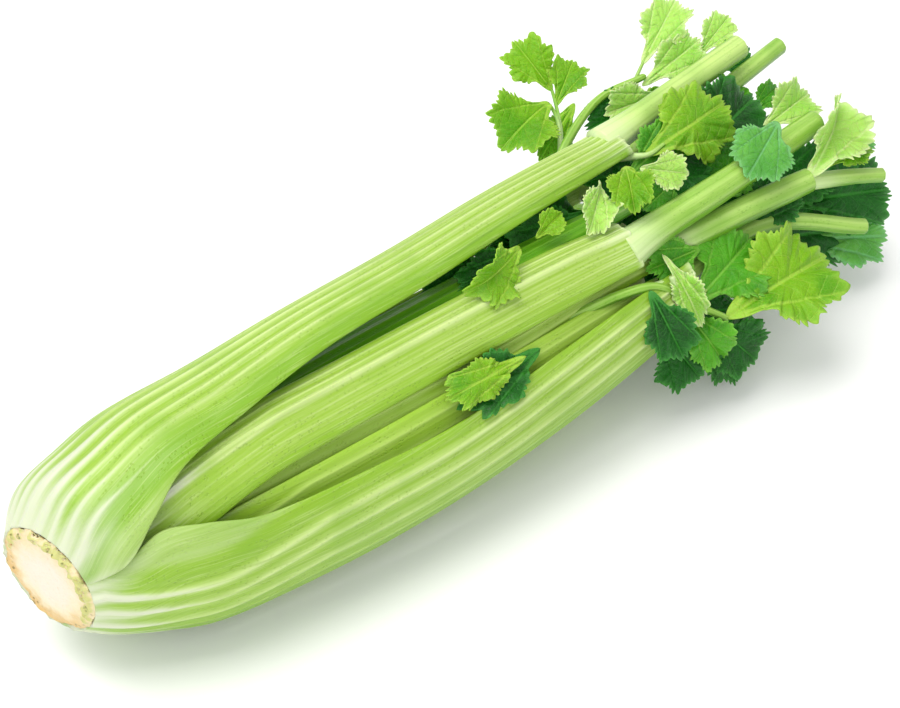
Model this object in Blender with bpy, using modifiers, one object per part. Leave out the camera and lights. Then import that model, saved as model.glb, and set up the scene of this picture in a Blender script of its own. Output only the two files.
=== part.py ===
"""Head of celery lying on its side, as a Blender model in metres, +Z up.

The head lies along X on the plane z = 0, from the cut crown at -X to the leaves at +X. Its stalks
nest in layers round one straight axis: three outer stalks wrap the crown, four middle ones come out
between them, and the inner stalks and the heart fill the middle. Upper stems and leaves carry on
from the stalks' ends. The origin is under the middle of the whole head.
"""

import math
from collections import namedtuple

import bmesh
import bpy
import numpy as np

# Every place below is measured from the head's own axis. The whole head then moves by this much, so
# that it rests on z = 0 with the origin under the middle of its box.
HEAD_SHIFT = (-0.0006, -0.0200, -0.0003)

# The head's own axis, parallel to X, and the flat cut across the crown.
AXIS_HEIGHT = 0.0443
CUT_FACE_X = -0.190
CROWN_RADIUS = 0.0212
CROWN_SIDES = 40
CROWN_SHARP_ANGLE = math.radians(40)

# The knife leaned: the cut and everything near it shears towards -X by this share of its y, all of
# it at the cut face and none past the end of the lean.
CUT_LEAN = 0.24
LEAN_END_X = -0.125

# A stalk's cross-section: points over its outer face, rings along its length, the share of its
# full thickness that is left at its two edges, and the share of the way where it is thickest.
FACE_POINTS = 6
RINGS_PER_STATION = 1.5
EDGE_THICKNESS = 0.42
THICKEST_AT = 0.35
STALK_SHARP_ANGLE = math.radians(50)

STEM_SIDES_LEVEL = 2
STEM_RINGS_PER_LEG = 3

# A leaf's fan of faces, in degrees each side of its midrib. Its reach, as a share of its length, is
# a round middle, less a narrowing towards the base, plus a bell for each lobe.
LEAF_COLUMNS = 12
LEAF_ROWS = 3
LEAF_SPREAD = 100
LEAF_THICKNESS = 0.0007
LEAF_MIDDLE_REACH = 0.58
LEAF_NARROWING = 0.20
MIDDLE_LOBE_REACH = 0.42
SIDE_LOBE_REACH = 0.22
SIDE_LOBE_ANGLE = 58
LOBE_SPREAD = 22

# Station: x along the head, angle round the axis from +Y towards +Z, radius of the outer face,
# width along the outer face, angle that the face curls through, and how far it turns from radial.
Station = namedtuple("Station", "x angle radius width curl turn")
Stalk = namedtuple("Stalk", "name colour thickness stations")
Stem = namedtuple("Stem", "name colour radii route")
Leaf = namedtuple("Leaf", "name colour width base tip face fold arch")

CREAM = (0.86, 0.80, 0.58)
OUTER_GREEN = (0.42, 0.66, 0.13)
MIDDLE_GREEN = (0.47, 0.70, 0.16)
INNER_GREEN = (0.58, 0.74, 0.26)
HEART_YELLOW = (0.74, 0.79, 0.42)
STEM_GREEN = (0.52, 0.73, 0.24)
BRIGHT_LEAF = (0.28, 0.60, 0.06)
MID_LEAF = (0.11, 0.42, 0.04)
DARK_LEAF = (0.03, 0.24, 0.03)
PALE_LEAF = (0.50, 0.72, 0.28)

STALKS = (
    Stalk("outer_stalk_top", OUTER_GREEN, (0.0045, 0.0068, 0.0060), (
        Station(-0.1862, 80, 0.0218, 0.0525, 138, 0),
        Station(-0.1780, 80, 0.0335, 0.0740, 127, 0),
        Station(-0.1620, 79, 0.0390, 0.0740, 109, 0),
        Station(-0.1420, 75, 0.0440, 0.0620, 84, 0),
        Station(-0.1100, 72, 0.0455, 0.0500, 75, 0),
        Station(-0.0700, 70, 0.0485, 0.0410, 75, 2),
        Station(-0.0200, 68, 0.0500, 0.0360, 78, 6),
        Station(0.0300, 64, 0.0520, 0.0320, 80, 12),
        Station(0.0900, 58, 0.0515, 0.0240, 80, 22),
    )),
    Stalk("outer_stalk_front", OUTER_GREEN, (0.0045, 0.0068, 0.0058), (
        Station(-0.1862, 207, 0.0218, 0.0415, 109, 0),
        Station(-0.1780, 205, 0.0292, 0.0540, 106, 0),
        Station(-0.1620, 191, 0.0358, 0.0660, 106, 0),
        Station(-0.1450, 187, 0.0398, 0.0620, 92, 0),
        Station(-0.1200, 188, 0.0425, 0.0510, 76, 0),
        Station(-0.0800, 185, 0.0442, 0.0430, 75, 0),
        Station(-0.0350, 182, 0.0445, 0.0375, 76, 0),
        Station(0.0200, 174, 0.0405, 0.0330, 78, 0),
        Station(0.0830, 167, 0.0340, 0.0260, 80, 0),
    )),
    Stalk("outer_stalk_under", OUTER_GREEN, (0.0045, 0.0066, 0.0056), (
        Station(-0.1862, 316, 0.0218, 0.0388, 102, 0),
        Station(-0.1780, 314, 0.0285, 0.0500, 100, 0),
        Station(-0.1620, 305, 0.0350, 0.0600, 98, 0),
        Station(-0.1450, 298, 0.0390, 0.0590, 86, 0),
        Station(-0.1200, 298, 0.0427, 0.0440, 70, 0),
        Station(-0.0800, 298, 0.0462, 0.0380, 72, -4),
        Station(-0.0350, 297, 0.0470, 0.0350, 74, -6),
        Station(0.0200, 297, 0.0470, 0.0320, 76, -6),
        Station(0.0850, 297, 0.0450, 0.0270, 80, -6),
    )),
    Stalk("middle_stalk_front", MIDDLE_GREEN, (0.0036, 0.0060, 0.0055), (
        Station(-0.1785, 130, 0.0172, 0.0240, 80, 0),
        Station(-0.1700, 129, 0.0230, 0.0300, 74, 0),
        Station(-0.1580, 127, 0.0280, 0.0330, 68, 0),
        Station(-0.1400, 121, 0.0335, 0.0320, 62, 0),
        Station(-0.1100, 116, 0.0368, 0.0290, 62, 0),
        Station(-0.0700, 115, 0.0375, 0.0275, 66, 0),
        Station(-0.0200, 114, 0.0375, 0.0270, 70, 0),
        Station(0.0300, 114, 0.0375, 0.0260, 74, 0),
        Station(0.0620, 116, 0.0370, 0.0230, 80, 0),
    )),
    Stalk("middle_stalk_under", MIDDLE_GREEN, (0.0036, 0.0058, 0.0052), (
        Station(-0.1785, 232, 0.0172, 0.0240, 80, 0),
        Station(-0.1700, 236, 0.0215, 0.0285, 76, 0),
        Station(-0.1580, 240, 0.0265, 0.0320, 70, 0),
        Station(-0.1420, 243, 0.0320, 0.0345, 66, 0),
        Station(-0.1200, 248, 0.0385, 0.0310, 64, 2),
        Station(-0.0850, 251, 0.0432, 0.0285, 68, 3),
        Station(-0.0350, 253, 0.0453, 0.0275, 72, 4),
        Station(0.0050, 255, 0.0448, 0.0260, 76, 3),
        Station(0.0450, 257, 0.0430, 0.0220, 80, 2),
    )),
    Stalk("middle_stalk_back_low", MIDDLE_GREEN, (0.0036, 0.0058, 0.0052), (
        Station(-0.1785, 316, 0.0172, 0.0240, 80, 0),
        Station(-0.1700, 320, 0.0218, 0.0285, 74, 0),
        Station(-0.1580, 328, 0.0268, 0.0285, 61, 0),
        Station(-0.1420, 337, 0.0322, 0.0280, 58, 0),
        Station(-0.1200, 342, 0.0385, 0.0290, 60, 0),
        Station(-0.0850, 341, 0.0430, 0.0300, 68, 0),
        Station(-0.0350, 338, 0.0455, 0.0315, 72, 0),
        Station(0.0200, 338, 0.0455, 0.0290, 76, 0),
        Station(0.0900, 338, 0.0440, 0.0240, 80, 0),
    )),
    Stalk("middle_stalk_back_high", MIDDLE_GREEN, (0.0036, 0.0058, 0.0052), (
        Station(-0.1785, 42, 0.0172, 0.0240, 80, 0),
        Station(-0.1700, 38, 0.0225, 0.0280, 71, 0),
        Station(-0.1580, 33, 0.0275, 0.0290, 60, 0),
        Station(-0.1420, 29, 0.0330, 0.0265, 52, 0),
        Station(-0.1200, 26, 0.0390, 0.0275, 56, 0),
        Station(-0.0850, 23, 0.0430, 0.0285, 66, 0),
        Station(-0.0350, 20, 0.0445, 0.0285, 72, 0),
        Station(0.0200, 20, 0.0445, 0.0270, 76, 0),
        Station(0.0850, 20, 0.0430, 0.0230, 80, 0),
    )),
    Stalk("inner_stalk_upper_front", INNER_GREEN, (0.0028, 0.0048, 0.0042), (
        Station(-0.1720, 135, 0.0122, 0.0112, 52, 0),
        Station(-0.1630, 134, 0.0162, 0.0145, 51, 0),
        Station(-0.1500, 132, 0.0200, 0.0175, 50, 0),
        Station(-0.1300, 130, 0.0235, 0.0195, 50, 0),
        Station(-0.1000, 128, 0.0262, 0.0205, 50, 0),
        Station(-0.0500, 127, 0.0285, 0.0210, 54, 0),
        Station(0.0000, 127, 0.0285, 0.0195, 60, 0),
        Station(0.0500, 128, 0.0270, 0.0160, 70, 0),
        Station(0.0850, 130, 0.0230, 0.0120, 90, 0),
    )),
    Stalk("inner_stalk_front", INNER_GREEN, (0.0028, 0.0050, 0.0044), (
        Station(-0.1720, 195, 0.0122, 0.0112, 52, 0),
        Station(-0.1630, 193, 0.0162, 0.0145, 51, 0),
        Station(-0.1500, 188, 0.0200, 0.0175, 50, 0),
        Station(-0.1300, 179, 0.0245, 0.0200, 50, 0),
        Station(-0.1000, 174, 0.0285, 0.0220, 50, 0),
        Station(-0.0500, 171, 0.0300, 0.0225, 55, 0),
        Station(0.0000, 169, 0.0295, 0.0210, 60, 0),
        Station(0.0400, 166, 0.0280, 0.0185, 66, 0),
        Station(0.0720, 165, 0.0250, 0.0140, 80, 0),
    )),
    Stalk("inner_stalk_top", INNER_GREEN, (0.0028, 0.0050, 0.0044), (
        Station(-0.1720, 75, 0.0122, 0.0112, 52, 0),
        Station(-0.1630, 75, 0.0162, 0.0145, 51, 0),
        Station(-0.1500, 76, 0.0205, 0.0180, 50, 0),
        Station(-0.1300, 78, 0.0250, 0.0205, 50, 0),
        Station(-0.1000, 79, 0.0285, 0.0220, 50, 0),
        Station(-0.0500, 80, 0.0310, 0.0220, 55, 0),
        Station(0.0000, 80, 0.0320, 0.0210, 60, 0),
        Station(0.0450, 80, 0.0320, 0.0180, 70, 0),
        Station(0.0800, 80, 0.0310, 0.0130, 90, 0),
    )),
    Stalk("inner_stalk_back", INNER_GREEN, (0.0028, 0.0050, 0.0044), (
        Station(-0.1720, 15, 0.0122, 0.0112, 52, 0),
        Station(-0.1630, 15, 0.0162, 0.0145, 51, 0),
        Station(-0.1500, 16, 0.0200, 0.0175, 50, 0),
        Station(-0.1300, 18, 0.0240, 0.0200, 50, 0),
        Station(-0.1000, 20, 0.0275, 0.0215, 50, 0),
        Station(-0.0500, 22, 0.0300, 0.0220, 55, 0),
        Station(0.0000, 22, 0.0305, 0.0210, 60, 0),
        Station(0.0500, 22, 0.0300, 0.0180, 70, 0),
        Station(0.0900, 22, 0.0290, 0.0130, 90, 0),
    )),
    Stalk("inner_stalk_under_front", INNER_GREEN, (0.0028, 0.0050, 0.0044), (
        Station(-0.1720, 255, 0.0122, 0.0112, 52, 0),
        Station(-0.1630, 253, 0.0162, 0.0145, 51, 0),
        Station(-0.1500, 248, 0.0200, 0.0175, 50, 0),
        Station(-0.1300, 240, 0.0245, 0.0205, 50, 0),
        Station(-0.1000, 232, 0.0285, 0.0220, 50, 0),
        Station(-0.0500, 226, 0.0310, 0.0225, 55, 0),
        Station(0.0000, 226, 0.0315, 0.0215, 60, 0),
        Station(0.0500, 226, 0.0310, 0.0185, 70, 0),
        Station(0.0800, 226, 0.0300, 0.0140, 90, 0),
    )),
    Stalk("inner_stalk_under_back", INNER_GREEN, (0.0028, 0.0050, 0.0044), (
        Station(-0.1720, 315, 0.0122, 0.0112, 52, 0),
        Station(-0.1630, 315, 0.0162, 0.0145, 51, 0),
        Station(-0.1500, 314, 0.0200, 0.0175, 50, 0),
        Station(-0.1300, 310, 0.0240, 0.0200, 50, 0),
        Station(-0.1000, 306, 0.0275, 0.0220, 50, 0),
        Station(-0.0500, 302, 0.0310, 0.0225, 55, 0),
        Station(0.0000, 302, 0.0315, 0.0215, 60, 0),
        Station(0.0500, 302, 0.0310, 0.0185, 70, 0),
        Station(0.0850, 302, 0.0300, 0.0140, 90, 0),
    )),
    Stalk("heart_stalk_front", HEART_YELLOW, (0.0022, 0.0036, 0.0032), (
        Station(-0.1660, 148, 0.0080, 0.0115, 84, 0),
        Station(-0.1560, 148, 0.0108, 0.0140, 76, 0),
        Station(-0.1350, 148, 0.0145, 0.0165, 70, 0),
        Station(-0.0900, 148, 0.0180, 0.0180, 66, 0),
        Station(-0.0300, 148, 0.0195, 0.0180, 70, 0),
        Station(0.0300, 148, 0.0190, 0.0150, 76, 0),
        Station(0.0700, 148, 0.0180, 0.0110, 90, 0),
    )),
    Stalk("heart_stalk_top", HEART_YELLOW, (0.0022, 0.0036, 0.0032), (
        Station(-0.1660, 50, 0.0080, 0.0115, 84, 0),
        Station(-0.1560, 50, 0.0108, 0.0140, 76, 0),
        Station(-0.1350, 50, 0.0145, 0.0165, 70, 0),
        Station(-0.0900, 50, 0.0180, 0.0180, 66, 0),
        Station(-0.0300, 50, 0.0195, 0.0180, 70, 0),
        Station(0.0400, 50, 0.0190, 0.0150, 76, 0),
        Station(0.0800, 50, 0.0180, 0.0110, 90, 0),
    )),
    Stalk("heart_stalk_under", HEART_YELLOW, (0.0022, 0.0036, 0.0032), (
        Station(-0.1660, 268, 0.0080, 0.0115, 84, 0),
        Station(-0.1560, 268, 0.0108, 0.0140, 76, 0),
        Station(-0.1350, 268, 0.0145, 0.0165, 70, 0),
        Station(-0.0900, 268, 0.0180, 0.0180, 66, 0),
        Station(-0.0300, 268, 0.0195, 0.0180, 70, 0),
        Station(0.0200, 268, 0.0190, 0.0150, 76, 0),
        Station(0.0600, 268, 0.0180, 0.0110, 90, 0),
    )),
)

STEMS = (
    Stem("upper_stem_top", STEM_GREEN, (0.0062, 0.0052), (
        (0.0912, 0.0300, 0.0850), (0.1280, 0.0345, 0.0862), (0.1660, 0.0400, 0.0872))),
    Stem("upper_stem_front", STEM_GREEN, (0.0078, 0.0048), (
        (0.0632, -0.0160, 0.0742), (0.1150, -0.0110, 0.0748), (0.1670, -0.0050, 0.0760))),
    Stem("upper_stem_back", STEM_GREEN, (0.0048, 0.0036), (
        (0.0862, 0.0380, 0.0585), (0.1400, 0.0360, 0.0690), (0.1920, 0.0420, 0.0750))),
    Stem("upper_stem_back_low", STEM_GREEN, (0.0050, 0.0040), (
        (0.0912, 0.0385, 0.0290), (0.1250, 0.0370, 0.0330), (0.1560, 0.0390, 0.0380))),
    Stem("upper_stem_under", STEM_GREEN, (0.0048, 0.0038), (
        (0.0862, 0.0190, 0.0070), (0.1200, 0.0170, 0.0120), (0.1500, 0.0140, 0.0180))),
    Stem("inner_stem_front", STEM_GREEN, (0.0052, 0.0050), (
        (0.0862, -0.0135, 0.0610), (0.1200, -0.0160, 0.0620), (0.1520, -0.0186, 0.0627))),
    Stem("inner_stem_cut_end", STEM_GREEN, (0.0030, 0.0030), (
        (0.1535, -0.0196, 0.0622), (0.1700, -0.0235, 0.0585), (0.1854, -0.0271, 0.0540))),
    Stem("inner_stem_low", STEM_GREEN, (0.0036, 0.0032), (
        (0.0735, -0.0235, 0.0500), (0.1280, -0.0170, 0.0500), (0.1735, -0.0320, 0.0365))),
    Stem("leaf_stalk_front", STEM_GREEN, (0.0018, 0.0017), (
        (0.0320, -0.0232, 0.0640), (0.0560, -0.0262, 0.0665), (0.0720, -0.0308, 0.0642),
        (0.0860, -0.0412, 0.0440))),
    Stem("leaf_stalk_back", STEM_GREEN, (0.0024, 0.0018), (
        (0.0860, 0.0540, 0.0640), (0.1100, 0.0640, 0.0700), (0.1320, 0.0590, 0.0760))),
)

TO_FRONT = (-0.45, -0.58, 0.68)
TO_LOW_FRONT = (-0.30, -0.80, 0.50)
TO_BACK = (0.10, 0.70, 0.70)
LEAVES = (
    Leaf("leaf_back_hanging", BRIGHT_LEAF, 0.034, (0.102, 0.084, 0.062), (0.076, 0.078, 0.042),
         (-0.50, -0.40, 0.75), 0.25, 0.15),
    Leaf("leaf_back_tip", BRIGHT_LEAF, 0.019, (0.104, 0.090, 0.075), (0.104, 0.107, 0.080),
         TO_FRONT, 0.20, 0.10),
    Leaf("leaf_back_side", BRIGHT_LEAF, 0.018, (0.123, 0.092, 0.069), (0.105, 0.081, 0.061),
         TO_FRONT, 0.20, 0.10),
    Leaf("leaf_back_narrow", PALE_LEAF, 0.013, (0.090, 0.066, 0.058), (0.108, 0.074, 0.064),
         TO_FRONT, 0.30, 0.10),
    Leaf("leaf_top_pale", PALE_LEAF, 0.020, (0.136, 0.064, 0.078), (0.162, 0.074, 0.093),
         TO_FRONT, 0.20, 0.10),
    Leaf("leaf_top_low", PALE_LEAF, 0.014, (0.136, 0.057, 0.079), (0.158, 0.052, 0.083),
         TO_FRONT, 0.25, 0.05),
    Leaf("leaf_top_small", PALE_LEAF, 0.015, (0.158, 0.055, 0.077), (0.179, 0.060, 0.085),
         TO_FRONT, 0.25, 0.10),
    Leaf("leaf_fan", BRIGHT_LEAF, 0.034, (0.094, 0.012, 0.0850), (0.137, 0.016, 0.0880),
         TO_FRONT, 0.12, 0.08),
    Leaf("leaf_bluish", MID_LEAF, 0.027, (0.121, -0.011, 0.0895), (0.143, -0.024, 0.0830),
         TO_FRONT, -0.15, 0.10),
    Leaf("leaf_behind_fan", DARK_LEAF, 0.034, (0.120, 0.014, 0.0700), (0.156, 0.022, 0.0760),
         TO_FRONT, 0.10, 0.05),
    Leaf("leaf_pale_edge", PALE_LEAF, 0.022, (0.153, 0.010, 0.0700), (0.180, 0.012, 0.0740),
         TO_FRONT, 0.25, 0.10),
    Leaf("leaf_upright", BRIGHT_LEAF, 0.026, (0.156, -0.022, 0.0690), (0.179, -0.012, 0.0860),
         (-0.20, -0.80, 0.50), 0.35, 0.10),
    Leaf("leaf_end_bluish", MID_LEAF, 0.019, (0.174, -0.008, 0.0600), (0.196, -0.008, 0.0600),
         TO_FRONT, 0.15, 0.05),
    Leaf("leaf_end_dark", DARK_LEAF, 0.032, (0.155, -0.006, 0.0480), (0.196, -0.016, 0.0420),
         TO_FRONT, 0.12, 0.06),
    Leaf("leaf_end_low", DARK_LEAF, 0.026, (0.152, -0.014, 0.0280), (0.195, -0.026, 0.0160),
         TO_FRONT, 0.15, 0.10),
    Leaf("leaf_bright_front", BRIGHT_LEAF, 0.042, (0.089, -0.044, 0.0395), (0.146, -0.049, 0.0370),
         (-0.25, -0.25, 0.93), 0.12, 0.06),
    Leaf("leaf_behind_bright", MID_LEAF, 0.026, (0.100, -0.026, 0.0330), (0.134, -0.024, 0.0350),
         (-0.30, -0.30, 0.90), 0.10, 0.05),
    Leaf("leaf_floor", DARK_LEAF, 0.026, (0.086, -0.038, 0.0260), (0.096, -0.044, 0.0006),
         TO_LOW_FRONT, 0.20, 0.10),
    Leaf("leaf_floor_far", DARK_LEAF, 0.028, (0.100, -0.049, 0.0180), (0.086, -0.036, 0.0360),
         TO_LOW_FRONT, 0.20, 0.10),
    Leaf("leaf_folded", PALE_LEAF, 0.020, (0.070, -0.0285, 0.0700), (0.074, -0.043, 0.0500),
         TO_LOW_FRONT, 0.20, 0.15),
    Leaf("leaf_between_low", BRIGHT_LEAF, 0.022, (0.018, 0.000, 0.0850), (-0.012, -0.008, 0.0860),
         TO_FRONT, 0.30, 0.12),
    Leaf("leaf_between_small", PALE_LEAF, 0.011, (0.030, 0.003, 0.0820), (0.043, 0.004, 0.0870),
         TO_FRONT, 0.30, 0.10),
    Leaf("leaf_between_pale", PALE_LEAF, 0.015, (0.066, 0.008, 0.0890), (0.046, -0.008, 0.0820),
         (-0.20, -0.70, 0.60), 0.30, 0.10),
    Leaf("leaf_between_bright", BRIGHT_LEAF, 0.020, (0.076, 0.006, 0.0930), (0.066, -0.012, 0.0850),
         TO_FRONT, 0.25, 0.15),
    Leaf("leaf_between_high", PALE_LEAF, 0.016, (0.082, 0.004, 0.0890), (0.097, -0.007, 0.0860),
         TO_FRONT, 0.30, 0.10),
    Leaf("leaf_front_gap", BRIGHT_LEAF, 0.013, (-0.036, -0.0300, 0.0634), (-0.002, -0.0314, 0.0624),
         TO_FRONT, -0.10, 0.03),
    Leaf("leaf_far_side", MID_LEAF, 0.034, (0.096, 0.048, 0.0440), (0.138, 0.056, 0.0360),
         TO_BACK, 0.15, 0.10),
    Leaf("leaf_far_floor", DARK_LEAF, 0.032, (0.110, 0.032, 0.0240), (0.146, 0.048, 0.0040),
         TO_BACK, 0.15, 0.10),
    Leaf("leaf_far_end", MID_LEAF, 0.030, (0.190, 0.036, 0.0400), (0.156, 0.030, 0.0460),
         TO_BACK, 0.15, 0.10),
)


def clear_scene():
    """Remove whatever the file opened with."""
    for obj in list(bpy.data.objects):
        bpy.data.objects.remove(obj, do_unlink=True)


def matte(name, colour, roughness):
    """A Principled material of one colour."""
    material = bpy.data.materials.new(name)
    material.use_nodes = True
    shader = material.node_tree.nodes["Principled BSDF"]
    shader.inputs["Base Color"].default_value = (*colour, 1.0)
    shader.inputs["Roughness"].default_value = roughness
    shader.inputs["Metallic"].default_value = 0.0
    return material


def keep(obj, collection, parent, colour, roughness=0.4):
    """Give a finished piece its material, and put it in the head's collection under its empty."""
    obj.data.materials.clear()
    obj.data.materials.append(matte(obj.name, colour, roughness))
    for other in list(obj.users_collection):
        other.objects.unlink(obj)
    collection.objects.link(obj)
    obj.parent = parent


def smooth_values(stations, count):
    """Catmull-Rom interpolation of every column of the stations, at `count` even steps."""
    rows = np.array(stations, dtype=float)
    ends = np.vstack([2 * rows[0] - rows[1], rows, 2 * rows[-1] - rows[-2]])
    place = np.linspace(0, len(rows) - 1, count)
    left = np.minimum(place.astype(int), len(rows) - 2)
    t = (place - left)[:, None]
    before, start, end, after = (ends[left + step] for step in range(4))
    slope_in = (end - before) / 2
    slope_out = (after - start) / 2
    return (
        (2 * t**3 - 3 * t**2 + 1) * start
        + (t**3 - 2 * t**2 + t) * slope_in
        + (3 * t**2 - 2 * t**3) * end
        + (t**3 - t**2) * slope_out
    )


def leaned(points):
    """Shear points near the crown along X by their y, so that the cut leans as the knife did."""
    moved = np.array(points, dtype=float)
    fade = np.clip((LEAN_END_X - moved[..., 0]) / (LEAN_END_X - CUT_FACE_X), 0, 1)
    moved[..., 0] -= CUT_LEAN * moved[..., 1] * fade
    return moved


def outer_face(values, across):
    """Points of a stalk's outer face, one row per ring.

    Each row is an arc of radius width / curl in the plane of its x. The arc's middle is at the
    station's radius and angle round the head's axis, and `across` runs from -1 to 1 over it.
    """
    x, angle, radius, width, curl, turn = (column[:, None] for column in values.T)
    angle, curl, turn = (np.radians(column) for column in (angle, curl, turn))
    bend = width / curl
    facing = angle + turn
    centre_y = radius * np.cos(angle) - bend * np.cos(facing)
    centre_z = AXIS_HEIGHT + radius * np.sin(angle) - bend * np.sin(facing)
    swing = facing + across[None, :] * curl / 2
    y = centre_y + bend * np.cos(swing)
    z = centre_z + bend * np.sin(swing)
    return np.stack([np.broadcast_to(x, y.shape), y, z], axis=-1)


def face_normals(points):
    """Unit normals of a grid of points, pointing away from the head's axis."""
    along = np.gradient(points, axis=0)
    over = np.gradient(points, axis=1)
    normals = np.cross(over, along)
    return normals / np.linalg.norm(normals, axis=-1, keepdims=True)


def stalk_section_rings(stalk):
    """Closed rings of points round a stalk: its outer face, then its inner face coming back."""
    count = round(len(stalk.stations) * RINGS_PER_STATION) + 1
    values = smooth_values(stalk.stations, count)
    across = np.linspace(-1, 1, FACE_POINTS)
    outer = leaned(outer_face(values, across))
    normals = face_normals(outer)
    share = np.linspace(0, 1, count)[:, None]
    base, middle, end = stalk.thickness
    depth = np.interp(share, (0.0, THICKEST_AT, 1.0), (base, middle, end))
    depth = depth * (EDGE_THICKNESS + (1 - EDGE_THICKNESS) * np.cos(across * math.pi / 2))
    inner = outer - normals * depth[..., None]
    return np.concatenate([outer, inner[:, ::-1]], axis=1)


def loft(name, rings):
    """One closed solid through rings of equal point counts, with a fan over each end."""
    mesh = bmesh.new()
    verts = [[mesh.verts.new(point) for point in ring] for ring in rings]
    size = len(verts[0])
    for near, far in zip(verts, verts[1:]):
        for i in range(size):
            j = (i + 1) % size
            mesh.faces.new((near[i], near[j], far[j], far[i]))
    mesh.faces.new(verts[0][::-1])
    mesh.faces.new(verts[-1])
    bmesh.ops.triangulate(mesh, faces=mesh.faces[:])
    bmesh.ops.recalc_face_normals(mesh, faces=mesh.faces[:])
    data = bpy.data.meshes.new(name)
    mesh.to_mesh(data)
    mesh.free()
    data.shade_smooth()
    data.set_sharp_from_angle(angle=STALK_SHARP_ANGLE)
    return bpy.data.objects.new(name, data)


def turned_crown():
    """The solid root crown: a stepped cone turned round the head's axis."""
    outline = (
        (0.0000, 0.0000),
        (0.0000, CROWN_RADIUS - 0.0006),
        (0.0006, CROWN_RADIUS),
        (0.0028, CROWN_RADIUS),
        (0.0070, 0.0170),
        (0.0104, 0.0152),
        (0.0130, 0.0132),
        (0.0166, 0.0110),
        (0.0192, 0.0084),
        (0.0232, 0.0068),
        (0.0258, 0.0030),
        (0.0266, 0.0000),
    )
    data = bpy.data.meshes.new("crown")
    points = [(radius, 0.0, height) for height, radius in outline]
    data.from_pydata(points, [(i, i + 1) for i in range(len(points) - 1)], [])
    crown = bpy.data.objects.new("crown", data)
    screw = crown.modifiers.new("turn", "SCREW")
    screw.steps = CROWN_SIDES
    screw.render_steps = CROWN_SIDES
    screw.use_merge_vertices = True
    screw.merge_threshold = 0.00005
    screw.use_normal_flip = True
    crown.rotation_euler = (0.0, math.radians(90), 0.0)
    crown.location = (CUT_FACE_X, 0.0, AXIS_HEIGHT)
    return lean_mesh(crown)


def lean_mesh(turned):
    """The turned object as a plain mesh in world space, sheared like the stalks round it."""
    bpy.context.scene.collection.objects.link(turned)
    graph = bpy.context.evaluated_depsgraph_get()
    data = bpy.data.meshes.new_from_object(turned.evaluated_get(graph))
    data.transform(turned.matrix_world)
    points = np.array([vertex.co for vertex in data.vertices])
    data.vertices.foreach_set("co", leaned(points).ravel())
    data.update()
    data.shade_smooth()
    data.set_sharp_from_angle(angle=CROWN_SHARP_ANGLE)
    bpy.data.objects.remove(turned, do_unlink=True)
    return bpy.data.objects.new("crown", data)


def tapered_stem(stem):
    """A stem: a tube along a smooth curve, thinning from its first radius to its last."""
    curve = bpy.data.curves.new(stem.name, "CURVE")
    curve.dimensions = "3D"
    curve.bevel_depth = 1.0
    curve.bevel_resolution = STEM_SIDES_LEVEL
    curve.use_fill_caps = True
    steps = STEM_RINGS_PER_LEG * (len(stem.route) - 1) + 1
    route = smooth_values(stem.route, steps)
    spline = curve.splines.new("POLY")
    spline.points.add(steps - 1)
    for point, place, share in zip(spline.points, route, np.linspace(0, 1, steps)):
        point.co = (*place, 1.0)
        point.radius = stem.radii[0] + (stem.radii[1] - stem.radii[0]) * share
    return bpy.data.objects.new(stem.name, curve)


def leaf_radius(angle):
    """How far a three-lobed leaf reaches from its base, as a share of its length.

    `angle` is measured from the midrib, in degrees.
    """
    turn = np.abs(angle)
    middle_lobe = MIDDLE_LOBE_REACH * np.exp(-((turn / LOBE_SPREAD) ** 2))
    side_lobes = SIDE_LOBE_REACH * np.exp(-(((turn - SIDE_LOBE_ANGLE) / LOBE_SPREAD) ** 2))
    return LEAF_MIDDLE_REACH - LEAF_NARROWING * (turn / LEAF_SPREAD) ** 4 + middle_lobe + side_lobes


def leaf_sheet(leaf):
    """A leaf as an open fan of faces from its base to its lobed edge, made solid by Solidify.

    The blade folds up from its midrib by `fold` and arches off the line from base to tip.
    """
    base, tip = np.array(leaf.base), np.array(leaf.tip)
    length = np.linalg.norm(tip - base)
    along = (tip - base) / length
    side = np.cross(np.array(leaf.face), along)
    side /= np.linalg.norm(side)
    normal = np.cross(along, side)
    angle = np.linspace(-LEAF_SPREAD, LEAF_SPREAD, LEAF_COLUMNS + 1)
    reach = leaf_radius(angle) * length
    share = np.arange(1, LEAF_ROWS + 1)[:, None] / LEAF_ROWS
    forward = share * reach * np.cos(np.radians(angle))
    over = share * reach * np.sin(np.radians(angle))
    over *= leaf.width / (2 * np.abs(over).max())
    run = forward / length
    lift = leaf.fold * np.abs(over) + 4 * leaf.arch * length * run * (1 - run)
    points = base + forward[..., None] * along + over[..., None] * side + lift[..., None] * normal
    columns = LEAF_COLUMNS + 1
    faces = [(0, 1 + i, 2 + i) for i in range(LEAF_COLUMNS)]
    for row in range(LEAF_ROWS - 1):
        start = 1 + row * columns
        for i in range(start, start + LEAF_COLUMNS):
            faces.append((i, i + columns, i + columns + 1, i + 1))
    data = bpy.data.meshes.new(leaf.name)
    data.from_pydata([tuple(base), *map(tuple, points.reshape(-1, 3))], [], faces)
    data.shade_smooth()
    blade = bpy.data.objects.new(leaf.name, data)
    wall = blade.modifiers.new("thickness", "SOLIDIFY")
    wall.thickness = LEAF_THICKNESS
    wall.offset = 0.0
    return blade


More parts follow.
